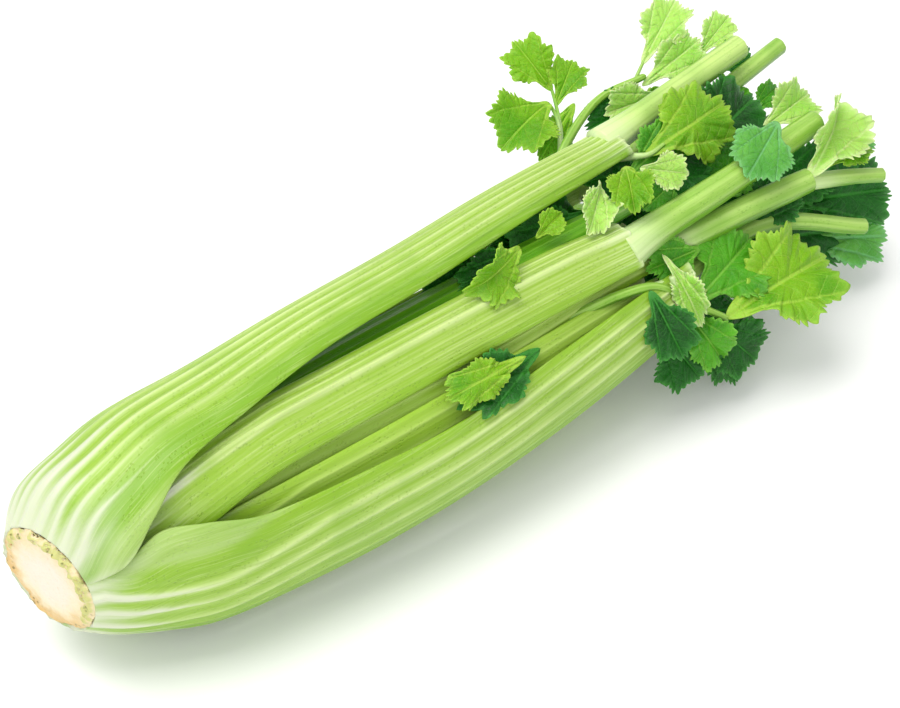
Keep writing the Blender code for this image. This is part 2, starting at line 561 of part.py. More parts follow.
def main():
    """Build the head of celery."""
    clear_scene()
    collection = bpy.data.collections.new("head_of_celery")
    bpy.context.scene.collection.children.link(collection)
    head = bpy.data.objects.new("head", None)
    head.location = HEAD_SHIFT
    collection.objects.link(head)
    keep(turned_crown(), collection, head, CREAM, 0.55)
    for stalk in STALKS:
        keep(loft(stalk.name, stalk_section_rings(stalk)), collection, head, stalk.colour)
    for stem in STEMS:
        keep(tapered_stem(stem), collection, head, stem.colour)
    for leaf in LEAVES:
        keep(leaf_sheet(leaf), collection, head, leaf.colour, 0.5)


main()
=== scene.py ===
"""Head of celery lying on its side: crown, ribbed stalks, cut upper stems and lobed leaves.

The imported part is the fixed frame. Every visible piece here is a finer surface that stands for one of
its nodes, or a small extra such as a leaf's own stalk. Sizes are metres, measured from the head's own
axis, and HEAD_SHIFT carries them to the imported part's place.
"""
import logging
import math
from dataclasses import dataclass
from enum import Enum
from typing import Any, NamedTuple

import bpy
import numpy as np
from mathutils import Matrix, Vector


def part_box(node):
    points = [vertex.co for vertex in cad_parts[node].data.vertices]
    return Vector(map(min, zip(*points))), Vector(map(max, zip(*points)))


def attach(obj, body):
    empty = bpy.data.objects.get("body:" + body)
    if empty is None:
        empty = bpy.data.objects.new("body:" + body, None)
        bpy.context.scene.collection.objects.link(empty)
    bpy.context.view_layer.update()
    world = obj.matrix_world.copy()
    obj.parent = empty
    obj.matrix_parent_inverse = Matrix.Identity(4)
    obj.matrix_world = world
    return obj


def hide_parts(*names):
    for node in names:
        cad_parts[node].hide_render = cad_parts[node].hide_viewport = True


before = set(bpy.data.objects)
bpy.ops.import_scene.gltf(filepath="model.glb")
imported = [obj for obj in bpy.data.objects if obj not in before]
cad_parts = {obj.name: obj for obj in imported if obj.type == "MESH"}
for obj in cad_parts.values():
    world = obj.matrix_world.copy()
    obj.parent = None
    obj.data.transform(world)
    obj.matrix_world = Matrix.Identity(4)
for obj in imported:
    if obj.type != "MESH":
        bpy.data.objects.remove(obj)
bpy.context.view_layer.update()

LOG = logging.getLogger("celery")
BODY = "root"

Colour = tuple[float, float, float]
Point = tuple[float, float, float]

# The head's own axis, its cut and the lean of the knife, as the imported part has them.
AXIS_HEIGHT = 0.0443
CUT_FACE_X = -0.190
CROWN_RADIUS = 0.0212
CUT_LEAN = 0.24
LEAN_END_X = -0.125


def head_shift() -> np.ndarray:
    """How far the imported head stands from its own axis, read from the crown's box."""
    low, high = (np.array(corner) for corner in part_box("crown"))
    own_low_x = CUT_FACE_X - CUT_LEAN * CROWN_RADIUS
    middle = (low + high) / 2
    return np.array((low[0] - own_low_x, middle[1], middle[2] - AXIS_HEIGHT))


HEAD_SHIFT = head_shift()


# ---- Shader graphs -----------------------------------------------


class Wire:
    """One value in a material's node tree. Python's operators on it add Math nodes."""

    def __init__(self, graph: "Graph", socket: bpy.types.NodeSocket) -> None:
        """Keep the tree and the output socket that the value comes from."""
        self.graph = graph
        self.socket = socket

    def maths(self, operation: str, *values: "Wire | float") -> "Wire":
        """A Math node of this operation on the values, in their order."""
        sockets = dict(enumerate(values))
        return self.graph.wire("ShaderNodeMath", {"operation": operation}, sockets)

    def __add__(self, other: "Wire | float") -> "Wire":
        """Sum."""
        return self.maths("ADD", self, other)

    def __sub__(self, other: "Wire | float") -> "Wire":
        """Difference."""
        return self.maths("SUBTRACT", self, other)

    def __rsub__(self, other: float) -> "Wire":
        """Difference, reflected, so that 1 - mask works."""
        return self.maths("SUBTRACT", other, self)

    def __mul__(self, other: "Wire | float") -> "Wire":
        """Product."""
        return self.maths("MULTIPLY", self, other)

    def clamped(self) -> "Wire":
        """The value held between 0 and 1."""
        return self.graph.wire("ShaderNodeClamp", {}, {0: self})

    def rise(self, low: float, high: float) -> "Wire":
        """0 below low, 1 above high and a smooth step between. It falls where low is above high."""
        if low > high:
            return 1 - self.rise(high, low)
        settings = {"interpolation_type": "SMOOTHSTEP"}
        return self.graph.wire("ShaderNodeMapRange", settings, {0: self, 1: low, 2: high})


class Graph:
    """The node tree of one material, with its Principled shader."""

    def __init__(self, name: str) -> None:
        """Open a new material of this name."""
        self.material = bpy.data.materials.new(name)
        self.material.use_nodes = True
        self.tree = self.material.node_tree
        self.shader = self.tree.nodes["Principled BSDF"]

    def node(self, kind: str, settings: dict[str, Any], sockets: dict[Any, Any]) -> bpy.types.Node:
        """Add one node.

        Args:
            kind: Blender's name for the type of node.
            settings: the node's own properties, set before its sockets.
            sockets: value or wire of each input, by name or number.

        Returns:
            The node.
        """
        made = self.tree.nodes.new(kind)
        for key, value in settings.items():
            setattr(made, key, value)
        self.fill(made, sockets)
        return made

    def fill(self, node: bpy.types.Node, sockets: dict[Any, Any]) -> None:
        """Set or link each named input of a node."""
        for key, value in sockets.items():
            if isinstance(value, Wire):
                self.tree.links.new(value.socket, node.inputs[key])
            else:
                node.inputs[key].default_value = value

    def wire(self, kind: str, settings: dict[str, Any], sockets: dict[Any, Any], out: Any = 0) -> Wire:
        """Add one node and return the value of one of its outputs."""
        return Wire(self, self.node(kind, settings, sockets).outputs[out])

    def attribute(self, name: str) -> Wire:
        """A number stored on the piece's points."""
        return self.wire("ShaderNodeAttribute", {"attribute_name": name}, {}, "Fac")

    def place(self) -> Wire:
        """Object coordinates, which are the head's own because every piece sits at the origin."""
        return self.wire("ShaderNodeTexCoord", {}, {}, "Object")

    def map(self, name: str, scale: Point) -> Wire:
        """A UV map of the piece, scaled."""
        uv = self.wire("ShaderNodeUVMap", {"uv_map": name}, {})
        return self.wire("ShaderNodeVectorMath", {"operation": "MULTIPLY"}, {0: uv, 1: scale})

    def noise(self, where: Wire, scale: float, detail: float = 2.0, rough: float = 0.5) -> Wire:
        """Noise between 0 and 1."""
        sockets = {"Vector": where, "Scale": scale, "Detail": detail, "Roughness": rough}
        return self.wire("ShaderNodeTexNoise", {}, sockets, 0)

    def cells(self, where: Wire, scale: float, feature: str = "F1") -> Wire:
        """Distance from the nearest cell's middle, or from its edge."""
        settings = {"feature": feature}
        sockets = {"Vector": where, "Scale": scale}
        return self.wire("ShaderNodeTexVoronoi", settings, sockets, "Distance")

    def split(self, where: Wire, axis: str) -> Wire:
        """One component of a vector."""
        return self.wire("ShaderNodeSeparateXYZ", {}, {0: where}, axis)

    def mix(self, share: "Wire | float", first: "Wire | Colour", second: "Wire | Colour") -> Wire:
        """Blend of two colours, the second by the share."""
        settings = {"data_type": "RGBA"}
        ends = [end if isinstance(end, Wire) else (*end, 1.0) for end in (first, second)]
        return self.wire("ShaderNodeMix", settings, {0: share, 6: ends[0], 7: ends[1]}, 2)

    def bump(self, height: Wire, distance: float, strength: float = 1.0) -> Wire:
        """A normal tilted by a height field, whose full range is the distance in metres."""
        sockets = {"Strength": strength, "Distance": distance, "Height": height}
        return self.wire("ShaderNodeBump", {}, sockets)


# ---- Finishes ----------------------------------------------------


@dataclass(frozen=True)
class SkinFinish:
    """Ribbed skin: white flesh at the base, green valleys, pale crests and smooth flanks painted darker
    as shade.

    The skin's points carry `crest` (1 on a rib, and on a stem also its painted highlight), `green` (0
    at the white base), a flank share (1 on the smooth sides, where a darker green is painted as shade)
    and `tip` (1 on a cut or swollen end). Its UV map is in metres, across and along.
    """

    name: str
    slot: str
    flesh: Colour
    valley: Colour
    crest: Colour
    shaded_flank: Colour
    tip: Colour
    roughness: float = 0.36

    def build(self) -> bpy.types.Material:
        """The finish as a material."""
        graph = Graph(self.name)
        crest = graph.attribute("crest")
        green = graph.attribute("green")
        shaded_flank = graph.attribute("shaded_flank")
        tip = graph.attribute("tip")
        fibre = graph.noise(graph.map("skin", (1500.0, 42.0, 1.0)), 1.0, 3.0, 0.6)
        strand = graph.noise(graph.map("skin", (520.0, 9.0, 1.0)), 1.0, 2.0, 0.5)
        tone = graph.noise(graph.place(), 34.0, 2.0)
        pore = graph.cells(graph.map("skin", (900.0, 620.0, 1.0)), 1.0)
        patch = graph.noise(graph.map("skin", (330.0, 60.0, 1.0)), 1.0, 2.0)
        pores = pore.rise(0.38, 0.14) * patch.rise(0.40, 0.58) * (1 - crest * 0.6) * green

        colour = graph.mix(crest, self.valley, self.crest)
        # Painted shade: the darker flank green laid over the smooth sides.
        colour = graph.mix(shaded_flank * 0.85, colour, self.shaded_flank)
        darker = tuple(0.72 * part for part in self.valley)
        colour = graph.mix(strand.rise(0.48, 0.72) * 0.40, colour, darker)
        colour = graph.mix(fibre.rise(0.48, 0.72) * 0.34, colour, self.crest)
        colour = graph.mix(tone.rise(0.50, 0.72) * 0.35, colour, self.shaded_flank)
        colour = graph.mix(pores * 0.50, colour, darker)
        fade = (green + (strand - 0.5) * 0.30).rise(0.04, 0.96)
        colour = graph.mix(fade, self.flesh, colour)
        colour = graph.mix(tip, colour, self.tip)
        height = fibre * 0.35 + strand * 0.65 - pores * 0.6
        graph.fill(graph.shader, {
            "Base Color": colour,
            "Roughness": fibre * 0.16 + (self.roughness - 0.08),
            "Normal": graph.bump(height, 0.00022, 0.9),
            "Specular IOR Level": 0.42,
            "Subsurface Weight": 0.12,
            "Subsurface Radius": (0.004, 0.006, 0.0015),
            "Subsurface Scale": 0.6,
        })
        return graph.material


@dataclass(frozen=True)
class LeafFinish:
    """Thin leaf with pale radiating veins, side veins to the teeth and a paler rim.

    The blade's UV map holds the distances along and off the nearest main vein, in leaf lengths. Its
    points carry `rim` (1 at the edge).
    """

    name: str
    slot: str
    blade: Colour
    shade: Colour
    vein: Colour
    rim: Colour
    roughness: float = 0.42

    def build(self) -> bpy.types.Material:
        """The finish as a material."""
        graph = Graph(self.name)
        uv = graph.map("vein", (1.0, 1.0, 1.0))
        along = graph.split(uv, "X")
        off = graph.split(uv, "Y")
        rim = graph.attribute("rim")
        thin = off + along * 0.012
        main = thin.rise(0.028, 0.008)
        step = (along - off * 0.85) * 8.5
        wave = step.maths("PINGPONG", step, 0.5)
        side = wave.rise(0.08, 0.01) * off.rise(0.30, 0.08)
        net = graph.cells(graph.place(), 620.0, "DISTANCE_TO_EDGE").rise(0.10, 0.02)
        tone = graph.noise(graph.place(), 120.0, 3.0)
        cloud = graph.noise(graph.place(), 45.0, 2.0)
        colour = graph.mix(cloud.rise(0.42, 0.66), self.blade, self.shade)
        colour = graph.mix(net * 0.18, colour, self.vein)
        colour = graph.mix(side * 0.28, colour, self.vein)
        colour = graph.mix(main * 0.70, colour, self.vein)
        colour = graph.mix(rim * 0.75, colour, self.rim)
        height = tone * 0.35 - net * 0.20 - side * 0.55 - main * 0.9
        graph.fill(graph.shader, {
            "Base Color": colour,
            "Roughness": tone * 0.18 + (self.roughness - 0.09),
            "Normal": graph.bump(height, 0.00035, 0.9),
            "Specular IOR Level": 0.26,
            "Subsurface Weight": 0.30,
            "Subsurface Radius": (0.0012, 0.0030, 0.0005),
            "Subsurface Scale": 0.5,
        })
        return graph.material


@dataclass(frozen=True)
class CrownFinish:
    """Cut root flesh: cream with a pinkish middle, a tan dried rim and green fibre ends.

    The face's points carry `reach` (0 at the middle, 1 at the rim), `stub` (1 on a fibre end) and
    `dry` (1 where the rim has browned).
    """

    name: str
    slot: str
    middle: Colour
    cream: Colour
    tan: Colour
    fibre: Colour
    pit: Colour

    def build(self) -> bpy.types.Material:
        """The finish as a material."""
        graph = Graph(self.name)
        reach = graph.attribute("reach")
        stub = graph.attribute("stub")
        dry = graph.attribute("dry")
        place = graph.place()
        coarse = graph.noise(place, 170.0, 3.0)
        fine = graph.noise(place, 900.0, 3.0)
        pit = graph.cells(place, 520.0)
        edge = (reach + (coarse - 0.5) * 0.55).rise(0.62, 0.92)
        colour = graph.mix((reach + (coarse - 0.5) * 0.5).rise(0.30, 0.85), self.middle, self.cream)
        colour = graph.mix(edge * dry * 0.85, colour, self.tan)
        colour = graph.mix(stub.rise(0.10, 0.45) * 0.80, colour, self.fibre)
        holes = (stub * -1).rise(0.02, 0.25)
        near_rim = reach.rise(0.74, 0.86) * reach.rise(0.99, 0.95)
        pits = (pit.rise(0.36, 0.12) * coarse.rise(0.48, 0.60) * near_rim + holes).clamped()
        colour = graph.mix(pits * 0.75, colour, self.pit)
        colour = graph.mix(fine.rise(0.55, 0.80) * 0.25, colour, self.tan)
        height = coarse * 0.6 + fine * 0.3 - pits * 0.7
        graph.fill(graph.shader, {
            "Base Color": colour,
            "Roughness": fine * 0.2 + 0.45,
            "Normal": graph.bump(height, 0.0012, 1.0),
            "Subsurface Weight": 0.2,
            "Subsurface Radius": (0.006, 0.004, 0.002),
            "Subsurface Scale": 0.5,
        })
        return graph.material


WHITE_FLESH = (0.57, 0.61, 0.44)
OUTER_SKIN = SkinFinish("outer_skin", "outer_stalk", WHITE_FLESH, (0.255, 0.440, 0.026),
                        (0.53, 0.66, 0.25), (0.17, 0.36, 0.008), (0.74, 0.84, 0.50))
MIDDLE_SKIN = SkinFinish("middle_skin", "middle_stalk", WHITE_FLESH, (0.27, 0.45, 0.034),
                         (0.54, 0.67, 0.25), (0.23, 0.43, 0.016), (0.74, 0.84, 0.50))
INNER_SKIN = SkinFinish("inner_skin", "inner_stalk", (0.58, 0.70, 0.26), (0.32, 0.52, 0.045),
                        (0.46, 0.64, 0.14), (0.25, 0.46, 0.015), (0.74, 0.84, 0.50))
HEART_SKIN = SkinFinish("heart_skin", "heart_stalk", (0.78, 0.80, 0.44), (0.56, 0.68, 0.17),
                        (0.70, 0.78, 0.34), (0.56, 0.70, 0.18), (0.80, 0.84, 0.55))
# A copy of the inner skin painted much darker, as the shade in the gap between the two top stalks.
SHADED_GAP_SKIN = SkinFinish("shaded_gap_skin", "inner_stalk", (0.40, 0.55, 0.12), (0.10, 0.33, 0.006),
                      (0.17, 0.42, 0.020), (0.08, 0.30, 0.004), (0.60, 0.74, 0.35))
STEM_SKIN = SkinFinish("stem_skin", "stem", (0.68, 0.80, 0.44), (0.17, 0.40, 0.010),
                       (0.53, 0.72, 0.21), (0.10, 0.32, 0.004), (0.74, 0.82, 0.50), 0.30)
CROWN_FLESH = CrownFinish("crown_flesh", "crown_flesh", (0.78, 0.68, 0.56), (0.76, 0.65, 0.41),
                          (0.62, 0.40, 0.13), (0.47, 0.50, 0.14), (0.12, 0.15, 0.02))


class LeafKind(Enum):
    """The leaf finishes: young bright leaves, dark ones painted as deep shade, and pale undersides."""

    BRIGHT = LeafFinish("leaf_bright", "leaf_bright", (0.165, 0.37, 0.003), (0.085, 0.28, 0.002),
                        (0.36, 0.57, 0.06), (0.34, 0.55, 0.06))
    MID = LeafFinish("leaf_mid", "leaf_mid", (0.070, 0.32, 0.006), (0.030, 0.20, 0.003),
                     (0.20, 0.48, 0.05), (0.18, 0.46, 0.05))
    # Painted shade: a near-black green for leaves and sheets that sit in the shade between stalks.
    DARK = LeafFinish("leaf_dark", "leaf_dark", (0.004, 0.090, 0.003), (0.002, 0.050, 0.002),
                      (0.040, 0.24, 0.025), (0.06, 0.28, 0.04))
    BLUISH = LeafFinish("leaf_bluish", "leaf_mid", (0.11, 0.36, 0.045), (0.06, 0.27, 0.025),
                        (0.18, 0.48, 0.18), (0.22, 0.52, 0.20), 0.55)
    PALE = LeafFinish("leaf_pale", "leaf_pale", (0.36, 0.61, 0.10), (0.25, 0.52, 0.05),
                      (0.58, 0.76, 0.27), (0.70, 0.83, 0.42))


# ---- Surfaces ----------------------------------------------------


def smooth_rows(rows: np.ndarray, place: np.ndarray) -> np.ndarray:
    """Catmull-Rom interpolation of every column.

    Args:
        rows: the known values, one row per station.
        place: where to read them, in rows from the first.

    Returns:
        One row for each place.
    """
    ends = np.vstack([2 * rows[0] - rows[1], rows, 2 * rows[-1] - rows[-2]])
    left = np.clip(place.astype(int), 0, len(rows) - 2)
    t = (place - left)[:, None]
    before, start, end, after = (ends[left + step] for step in range(4))
    return (
        (2 * t**3 - 3 * t**2 + 1) * start
        + (t**3 - 2 * t**2 + t) * (end - before) / 2
        + (3 * t**2 - 2 * t**3) * end
        + (t**3 - t**2) * (after - start) / 2
    )


def smooth_step(value: np.ndarray, low: float, high: float) -> np.ndarray:
    """0 below low, 1 above high, and 3t2 - 2t3 between."""
    t = np.clip((value - low) / (high - low), 0, 1)
    return t * t * (3 - 2 * t)


def ripple(value: np.ndarray, seed: int, waves: tuple[float, ...] = (1.0, 2.3, 4.1)) -> np.ndarray:
    """A sum of sines of seeded phase, each weaker as it gets faster, between about -1 and 1."""
    phases = np.random.default_rng(seed).uniform(0, 2 * math.pi, len(waves))
    rate = np.array(waves)
    total = np.sin(value[..., None] * rate + phases) / rate
    return total.sum(axis=-1) / (1 / rate).sum()


def leaned(points: np.ndarray) -> np.ndarray:
    """Points near the crown sheared along X by their y, all of it at the cut and none past the lean."""
    moved = points.copy()
    fade = np.clip((LEAN_END_X - moved[..., 0]) / (LEAN_END_X - CUT_FACE_X), 0, 1)
    moved[..., 0] -= CUT_LEAN * moved[..., 1] * fade
    return moved


def unit(vectors: np.ndarray) -> np.ndarray:
    """Vectors at length one."""
    return vectors / np.maximum(np.linalg.norm(vectors, axis=-1, keepdims=True), 1e-12)


def run_of(line: np.ndarray) -> np.ndarray:
    """Length of a line of points from its first one to each of them."""
    steps = np.linalg.norm(np.diff(line, axis=0), axis=1)
    return np.concatenate([[0], np.cumsum(steps)])


def quads(rows: int, columns: int) -> np.ndarray:
    """Corner numbers of the faces of a grid that joins round its columns."""
    row, column = np.arange(rows - 1)[:, None] * columns, np.arange(columns)[None, :]
    near, side = row + column, row + (column + 1) % columns
    return np.stack([near, side, side + columns, near + columns], axis=-1).reshape(-1, 4)


@dataclass
class Skin:
    """A surface on its way to a mesh: its points, its faces and what its points carry."""

    name: str
    points: np.ndarray
    faces: list[tuple[int, ...]]
    uv_name: str
    uv: np.ndarray
    fields: dict[str, np.ndarray]

    def piece(
        self, material: bpy.types.Material, slot: str, nodes: tuple[str, ...]
    ) -> bpy.types.Object:
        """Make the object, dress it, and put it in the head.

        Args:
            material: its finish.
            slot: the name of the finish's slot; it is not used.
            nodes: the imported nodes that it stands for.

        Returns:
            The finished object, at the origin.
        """
        mesh = bpy.data.meshes.new(self.name)
        mesh.from_pydata((self.points.reshape(-1, 3) + HEAD_SHIFT).tolist(), [], self.faces)
        for key, values in self.fields.items():
            layer = mesh.attributes.new(key, "FLOAT", "POINT")
            layer.data.foreach_set("value", values.astype(np.float32).ravel())
        corners = np.empty(len(mesh.loops), dtype=np.int32)
        mesh.loops.foreach_get("vertex_index", corners)
        layer = mesh.uv_layers.new(name=self.uv_name)
        layer.data.foreach_set("uv", self.uv.reshape(-1, 2)[corners].astype(np.float32).ravel())
        mesh.validate()
        mesh.shade_smooth()
        mesh.materials.append(material)
        made = bpy.data.objects.new(self.name, mesh)
        bpy.context.scene.collection.objects.link(made)
        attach(made, BODY)
        if nodes:
            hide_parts(*nodes)
        LOG.info("%s: %d faces", self.name, len(mesh.polygons))
        return made


def closed_tube(name: str, rings: np.ndarray, uv: np.ndarray, fields: dict[str, np.ndarray]) -> Skin:
    """Rings of points as a closed surface: walls between them and a fan over each end.

    Args:
        name: the piece's name.
        rings: points as rows x columns x 3, each row one closed ring.
        uv: map coordinates of the points.
        fields: numbers of the points, rows x columns each.

    Returns:
        The surface, with one more point in the middle of each end.
    """
    rows, columns = rings.shape[:2]
    middles = np.stack([rings[0].mean(axis=0), rings[-1].mean(axis=0)])
    points = np.concatenate([rings.reshape(-1, 3), middles])
    first = rows * columns
    here = np.arange(columns)
    following = (here + 1) % columns
    last_row = (rows - 1) * columns
    front = np.stack([np.full(columns, first), following, here], axis=-1)
    back = np.stack([np.full(columns, first + 1), last_row + here, last_row + following], axis=-1)
    faces = quads(rows, columns).tolist() + front.tolist() + back.tolist()
    maps = np.concatenate([uv.reshape(-1, 2), uv[0, :1], uv[-1, :1]])
    carried = {key: np.concatenate([v.ravel(), v[0, :1], v[-1, :1]]) for key, v in fields.items()}
    return Skin(name, points, faces, "skin", maps, carried)


# ---- Crown -------------------------------------------------------


@dataclass
class Crown:
    """The solid root crown, cut across by a knife, with fibre ends standing along its rim."""

    radius: float = CROWN_RADIUS
    rings: int = 90
    columns: int = 320
    fibre_ends: int = 64
    fibre_height: float = 0.0019
    wall: float = 0.0040
    back_radius: float = 0.0158

    # Lumps, tears and nicks of the rim as shares of its radius, then the cut face's own heights.
    LUMPS = 0.024
    TEARS = 0.022
    NICKS = 0.012
    KNIFE_WAVE = 0.00050
    KNIFE_CHATTER = 0.00040
    RIM_DROP = 0.0009
    # Where the fibre ends crowd, how far they stray from there, and how many of them are pitted.
    CROWDED_AT = math.radians(125)
    STRAY = 0.95
    SOLID_SHARE = 0.55

    def rim(self, angle: np.ndarray) -> np.ndarray:
        """Radius of the cut at each angle: a circle with slow lumps and fine torn edges."""
        slow = self.LUMPS * ripple(angle * 3, 5)
        return self.radius * (
            1 + slow + self.TEARS * ripple(angle * 13, 6) + self.NICKS * ripple(angle * 41, 7)
        )

    def ends(self, across: np.ndarray, up: np.ndarray) -> np.ndarray:
        """Fibre ends as a sum of small bells, crowded along the rim away from the dry side."""
        draw = np.random.default_rng(11)
        angle = self.CROWDED_AT + draw.normal(0, self.STRAY, self.fibre_ends)
        reach = self.radius * draw.uniform(0.82, 1.0, self.fibre_ends)
        size = draw.uniform(0.0010, 0.0019, self.fibre_ends)
        centre_y, centre_z = reach * np.cos(angle), reach * np.sin(angle)
        away = (across[..., None] - centre_y) ** 2 + (up[..., None] - centre_z) ** 2
        bells = np.exp(-away / size**2) * draw.uniform(0.4, 1.0, self.fibre_ends)
        pits = np.exp(-away / (0.30 * size) ** 2) * (draw.random(self.fibre_ends) > self.SOLID_SHARE)
        return np.clip(bells.max(axis=-1) - 1.4 * pits.max(axis=-1), -0.4, 1.2)

    def skin(self) -> Skin:
        """The crown as rings: over the cut face from its middle, round the rim and back inside.

        The face is flat at the cut, and stands out by slow ripples and the fibre ends.
        """
        angle = np.linspace(0, 2 * math.pi, self.columns, endpoint=False)[None, :]
        share = np.linspace(0.01, 1, self.rings)[:, None]
        reach = share * self.rim(angle)
        across, up = reach * np.cos(angle), reach * np.sin(angle)
        stub = self.ends(across, up)
        slow = self.KNIFE_WAVE * ripple(across * 260 + up * 170, 3)
        slow += self.KNIFE_CHATTER * ripple(up * 620 - across * 190, 4)
        drop = self.RIM_DROP * smooth_step(share, 0.90, 1.0) + 0 * angle
        depth = drop + slow * share - self.fibre_height * stub
        back = np.array((0.25, 0.6, 1.0))[:, None]
        wall_reach = self.rim(angle) * (1 - back) + self.back_radius * back
        wall_depth = self.RIM_DROP + self.wall * back + 0 * angle
        reach = np.concatenate([reach, wall_reach])
        depth = np.concatenate([depth, wall_depth])
        rings = np.stack([
            CUT_FACE_X + depth, reach * np.cos(angle), AXIS_HEIGHT + reach * np.sin(angle)
        ], axis=-1)
        none = np.zeros_like(wall_reach)
        dry = 0.15 + 0.85 * smooth_step(np.cos(angle + 0.9), -0.5, 0.6) + 0 * share
        fields = {
            "reach": np.concatenate([share + 0 * angle, none + 1]),
            "stub": np.concatenate([stub, none]),
            "dry": np.concatenate([dry, none + 0.6]),
        }
        return closed_tube("cut_crown", leaned(rings), rings[..., 1:], fields)

    def build(self) -> None:
        """Build and dress the crown."""
        self.skin().piece(CROWN_FLESH.build(), CROWN_FLESH.slot, ("crown",))


# ---- Stalks ------------------------------------------------------


class Station(NamedTuple):
    """A stalk's section: x along the head, angle round its axis, radius, width, curl and turn.

    Angles are degrees: the angle runs from +Y towards +Z, the curl is how far the outer face bends
    round, and the turn is how far it faces away from the axis's radial direction.
    """

    x: float
    angle: float
    radius: float
    width: float
    curl: float
    turn: float


class Fineness(Enum):
    """Rings and columns of a stalk's grid."""

    SHOWN = (230, 121)
    INSIDE = (120, 61)


@dataclass
class Stalk:
    """One leaf stalk: a crescent section that runs along the head, ribbed on its outer face."""

    node: str
    skin: SkinFinish
    thickness: tuple[float, float, float]
    stations: tuple[Station, ...]
    ribs: int = 7
    rib_height: float = 0.0006
    white_end: float = -0.135
    keel: float = 0.0
    keel_at: float = 0.0
    plain_from: float = 2.0
    # Where the painted shade of the flank starts over the ribbed band, from -1 to 1.
    shaded_flank_from: float = 0.48
    rib_band: float = 1.0
    reach_back: float = 0.0
    fineness: Fineness = Fineness.SHOWN

    # Where the ribs stop running straight, and the share of the thickness left at the two edges.
    STRAIGHT_TO = -0.100
    EDGE_THICKNESS = 0.42
    THICKEST_AT = 0.35
    # The joint's end: how far back it rounds over and how much it swells.
    LIP = 0.0016
    SWELL = 0.0007
    # Half widths of a rib and of a fine rib, in ribs, and a fine rib's height in ribs' heights.
    RIB_WIDTH = 0.20
    FINE_WIDTH = 0.22
    FINE_HEIGHT = 0.22
    FINE_PER_RIB = 3
    # Half width of the keel and of the pale stripe on it, as shares of half the face.
    KEEL_WIDTH = 0.26
    STRIPE_WIDTH = 0.09
    STRIPE_KEEL = 0.001
    # Widening of the first rows where the base is drawn back, and the rows' crowding at the joint.
    BASE_SPREAD = (1.07, 1.06, 1.04, 1.02)
    JOINT_ROWS = (0.055, 0.040, 0.027, 0.016, 0.008, 0.003, 0.0)

    def fitted(self) -> np.ndarray:
        """The stations, with the base drawn back to the crown's rim and widened where it says so."""
        rows = np.array(self.stations)
        rows[0, 0] -= self.reach_back
        if self.reach_back:
            rows[:len(self.BASE_SPREAD), 3:5] *= np.array(self.BASE_SPREAD)[:, None]
        return rows

    def sections(self) -> tuple[np.ndarray, np.ndarray]:
        """Station values down the stalk, crowded at both ends, and the share of the way along."""
        rings = self.fineness.value[0]
        span = len(self.stations) - 1
        crowd = span - np.array(self.JOINT_ROWS)
        place = np.concatenate([np.linspace(0, span - 0.07, rings), crowd])
        return smooth_rows(self.fitted(), place), place / span

    def outer_face(self, values: np.ndarray, across: np.ndarray) -> np.ndarray:
        """Points of the outer face: at each x an arc of radius width / curl, across from -1 to 1."""
        x, angle, radius, width, curl, turn = (column[:, None] for column in values.T)
        angle, curl, turn = np.radians(angle), np.radians(curl), np.radians(turn)
        bend = width / curl
        facing = angle + turn
        swing = facing + across[None, :] * curl / 2
        y = radius * np.cos(angle) + bend * (np.cos(swing) - np.cos(facing))
        z = AXIS_HEIGHT + radius * np.sin(angle) + bend * (np.sin(swing) - np.sin(facing))
        return leaned(np.stack([np.broadcast_to(x, y.shape), y, z], axis=-1))

    def rib_pattern(
        self, across: np.ndarray, spot: np.ndarray, share: np.ndarray, x: np.ndarray
    ) -> tuple[np.ndarray, ...]:
        """Height of the ribs and their crests.

        A rib is a narrow bell at each whole number of `phase`, which counts ribs over the ribbed
        band with a slow seeded drift. Finer ribs, three to one, grow towards the far end.

        Args:
            across: place over the whole face, from -1 to 1.
            spot: place over the ribbed band, which passes 1 where the face is wider than the band.
            share: share of the way along the stalk.
            x: place along the head.

        Returns:
            Height in metres, then crest, painted flank shade and thin wing, each from 0 to 1.
        """
        seed = sum(map(ord, self.node))
        drift = 0.05 * ripple(x * 22 + spot * 3.1, seed) + 0.12 * ripple(spot * 7 + 0 * x, seed + 1)
        phase = (spot + 1) / 2 * self.ribs + drift
        off = np.abs(phase - np.round(phase))
        strength = 0.72 + 0.38 * ripple(np.round(phase) * 5.3 + x * 9, seed + 2)
        strength = strength * (1 - 0.75 * smooth_step(across, self.plain_from, self.plain_from + 0.12))
        crest = np.exp(-((off / self.RIB_WIDTH) ** 2)) * strength
        fine_phase = phase * self.FINE_PER_RIB
        fine_off = np.abs(fine_phase - np.round(fine_phase))
        fine = np.exp(-((fine_off / self.FINE_WIDTH) ** 2))
        fine = fine * (0.25 + 0.75 * smooth_step(share, 0.35, 0.95))
        inside = 1 - smooth_step(np.abs(spot), 0.74, 0.95)
        wing = smooth_step(np.abs(spot), 1.0, 1.22)
        # Painted shade: darker green from the flank's start out to one edge, and a little at the other
        # edge.
        shaded_flank = smooth_step(spot, self.shaded_flank_from, 0.82) + 0.35 * smooth_step(-spot, 0.70, 0.95)
        rise = self.rib_height * (crest - 0.35) + self.FINE_HEIGHT * self.rib_height * (fine - 0.3)
        from_keel = across - self.keel_at
        ridge = self.keel * np.exp(-np.abs(from_keel) / self.KEEL_WIDTH)
        stripe = min(self.keel, self.STRIPE_KEEL) / self.STRIPE_KEEL
        stripe = stripe * np.exp(-((from_keel / self.STRIPE_WIDTH) ** 2))
        bright = np.clip(np.clip(crest + 0.35 * fine, 0, 1) * inside + 0.75 * stripe, 0, 1)
        return rise * inside + ridge, bright, np.clip(shaded_flank * (1 - wing), 0, 1), wing

